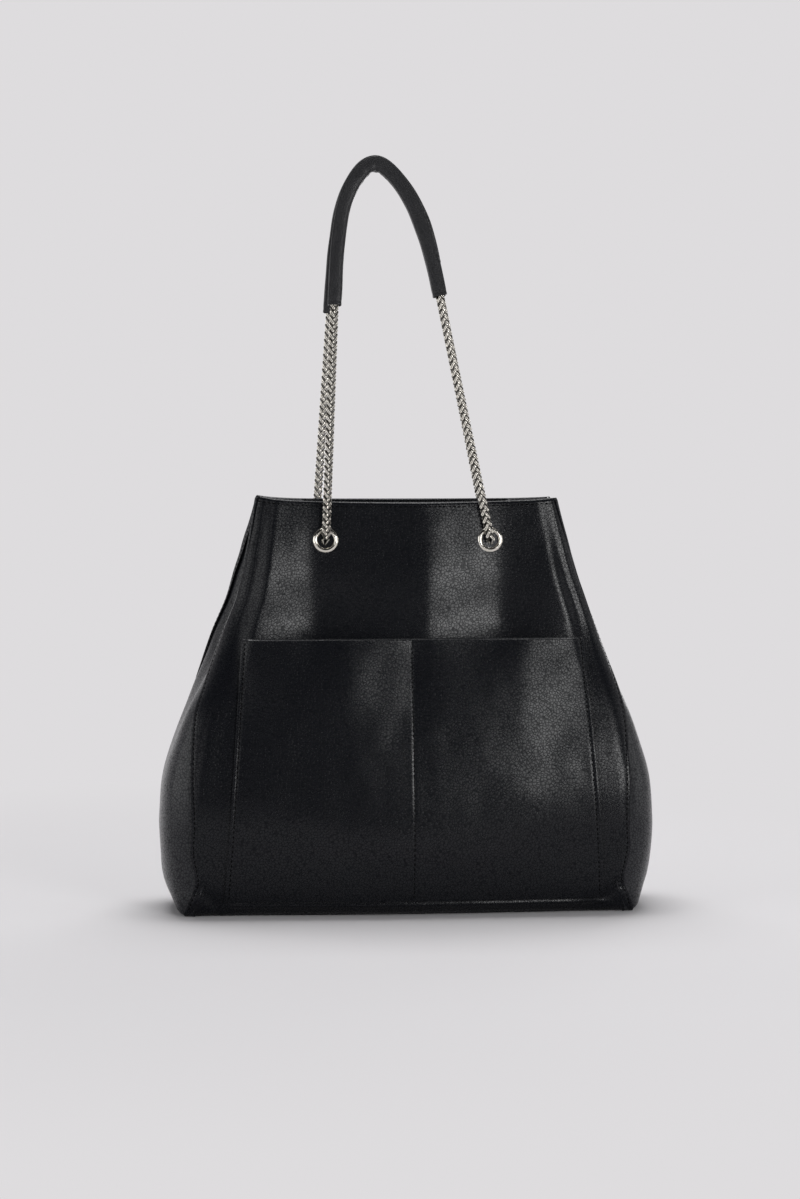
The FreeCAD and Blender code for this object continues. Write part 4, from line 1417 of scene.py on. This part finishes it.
def zip_pouch():
    """A flat cloth pouch behind the back lining, closed at its sides and bottom"""
    inner, outer = POUCH_INSETS
    middle = (inner + outer) / 2
    end = FLAT_SHARE * POUCH_HALF_WIDTH / flat_half(BACK, RIGHT, ZIP_HEIGHT)
    run = spaced(-end, end, 0.04, 0.03, (-end, end), 0.1)
    loop = [(across, inner) for across in run] + [(across, outer) for across in reversed(run[1:-1])]
    loop = [(across, middle if abs(across) == end else inset) for across, inset in loop]
    rows = spaced(POUCH_BOTTOM, POUCH_TOP, 0.008, 0.002, (POUCH_BOTTOM,), 0.03)

    def place(column, height):
        across, inset = loop[column % len(loop)]
        open_share = ease((height - POUCH_BOTTOM) / POUCH_SEAM)
        width_share = flat_half(BACK, RIGHT, ZIP_HEIGHT) / flat_half(BACK, RIGHT, height)
        return panel_point(BACK, across * width_share, height, middle + (inset - middle) * open_share)

    piece = skin("zip_pouch", list(range(len(loop) + 1)), rows, place)
    weld(piece)
    solidify(piece, POUCH_CLOTH)
    smooth(piece)
    return piece


def build_zip():
    end = FLAT_SHARE * ZIP_TAPE_HALF_LENGTH / flat_half(BACK, RIGHT, ZIP_HEIGHT)
    rows = spaced(ZIP_HEIGHT - ZIP_TAPE_HALF, ZIP_HEIGHT + ZIP_TAPE_HALF, 0.003, 0.002,
                  (ZIP_HEIGHT,), 0.01)
    columns = spaced(-end, end, 0.03, 0.02, (-end, end), 0.10)
    tape = inner_wall("zip_cloth_tape", functools.partial(panel_point, BACK), columns, rows,
                      ZIP_TAPE_FACE, ZIP_TAPE_CLOTH, BACK)
    dress(tape, tape_cloth, "zip_tape", "bag", "zip_tape")
    tooth = tooth_model()
    places = []
    count = round(2 * ZIP_HALF_LENGTH / TOOTH_PITCH)
    for number in range(count):
        x = (number + 0.5) * TOOTH_PITCH - ZIP_HALF_LENGTH
        stagger = TOOTH_STAGGER if number % 2 else -TOOTH_STAGGER
        places.append(Matrix.Translation((x, TOOTH_DEPTH, ZIP_HEIGHT + stagger)))
    dress(copies(tooth, "zip_tooth_row", places), metal, "nickel", "bag", "zip_teeth")
    discard(tooth)
    pouch = dress(zip_pouch(), lining_cloth, "lining_fabric", "bag", "zip_pocket_bag")


def build_straps():
    link = link_model()
    for side in (FRONT, BACK):
        name = SIDE_NAMES[side]
        body = name + "_strap"
        line = strap_line(side)
        piece = chain(name + "_wheat_chain", link, line, strap_plane(side))
        dress(piece, chain_metal, "nickel", body, name + "_strap_chain")
        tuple(line[0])
        covered = sleeve_line(side, line)
        half = [(p * MM, q * MM) for p, q in PAD_OUTLINE]
        pad = sleeve(name + "_sleeve", side, covered, half, 0, True)
        solidify(pad, PAD_WALL)
        apply_modifier(pad, "SUBSURF", levels=1, render_levels=1)
        smooth(pad, 60.0)
        dress(pad, sleeve_leather_painted_sheen, "black_leather", body, name + "_shoulder_pad")
        half = [(p * CORE_SHARE, q * CORE_SHARE) for p, q in half[:6]] + [(half[6][0] * CORE_SHARE, 0.0)]
        core = sleeve(name + "_sleeve_core", side, covered, half, CORE_RECESS, False)
        solidify(core, CORE_WALL)
        smooth(core, 60.0)
        dress(core, foam, "pad_foam", body, name + "_pad_foam")
    for hand in (LEFT, RIGHT):
        name = HAND_NAMES[hand]
        line = inner_line(hand)
        piece = chain(name + "_inner_wheat_chain", link, line, Vector((1.0, 0.0, 0.0)))
        dress(piece, chain_metal, "nickel", "bag", name + "_inner_chain")
        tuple(line[0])
    discard(link)


def build_eyelets():
    model = eyelet_model()
    for side in (FRONT, BACK):
        for hand in (LEFT, RIGHT):
            name = SIDE_NAMES[side] + "_" + HAND_NAMES[hand]
            piece = copies(model, name + "_ring", [band_place(side, hand * EYELETS[side], EYELET_HEIGHT)])
            dress(piece, metal, "nickel", "bag", name + "_eyelet")
    discard(model)


dress_cad_nodes()
build_body()
build_inside()
build_straps()
build_eyelets()
stage_floor()
studio_world()
for light, measures in SOFTBOXES.items():
    softbox(light, *measures)
photo_camera()

settings = bpy.context.scene.view_settings
settings.view_transform = "Standard"
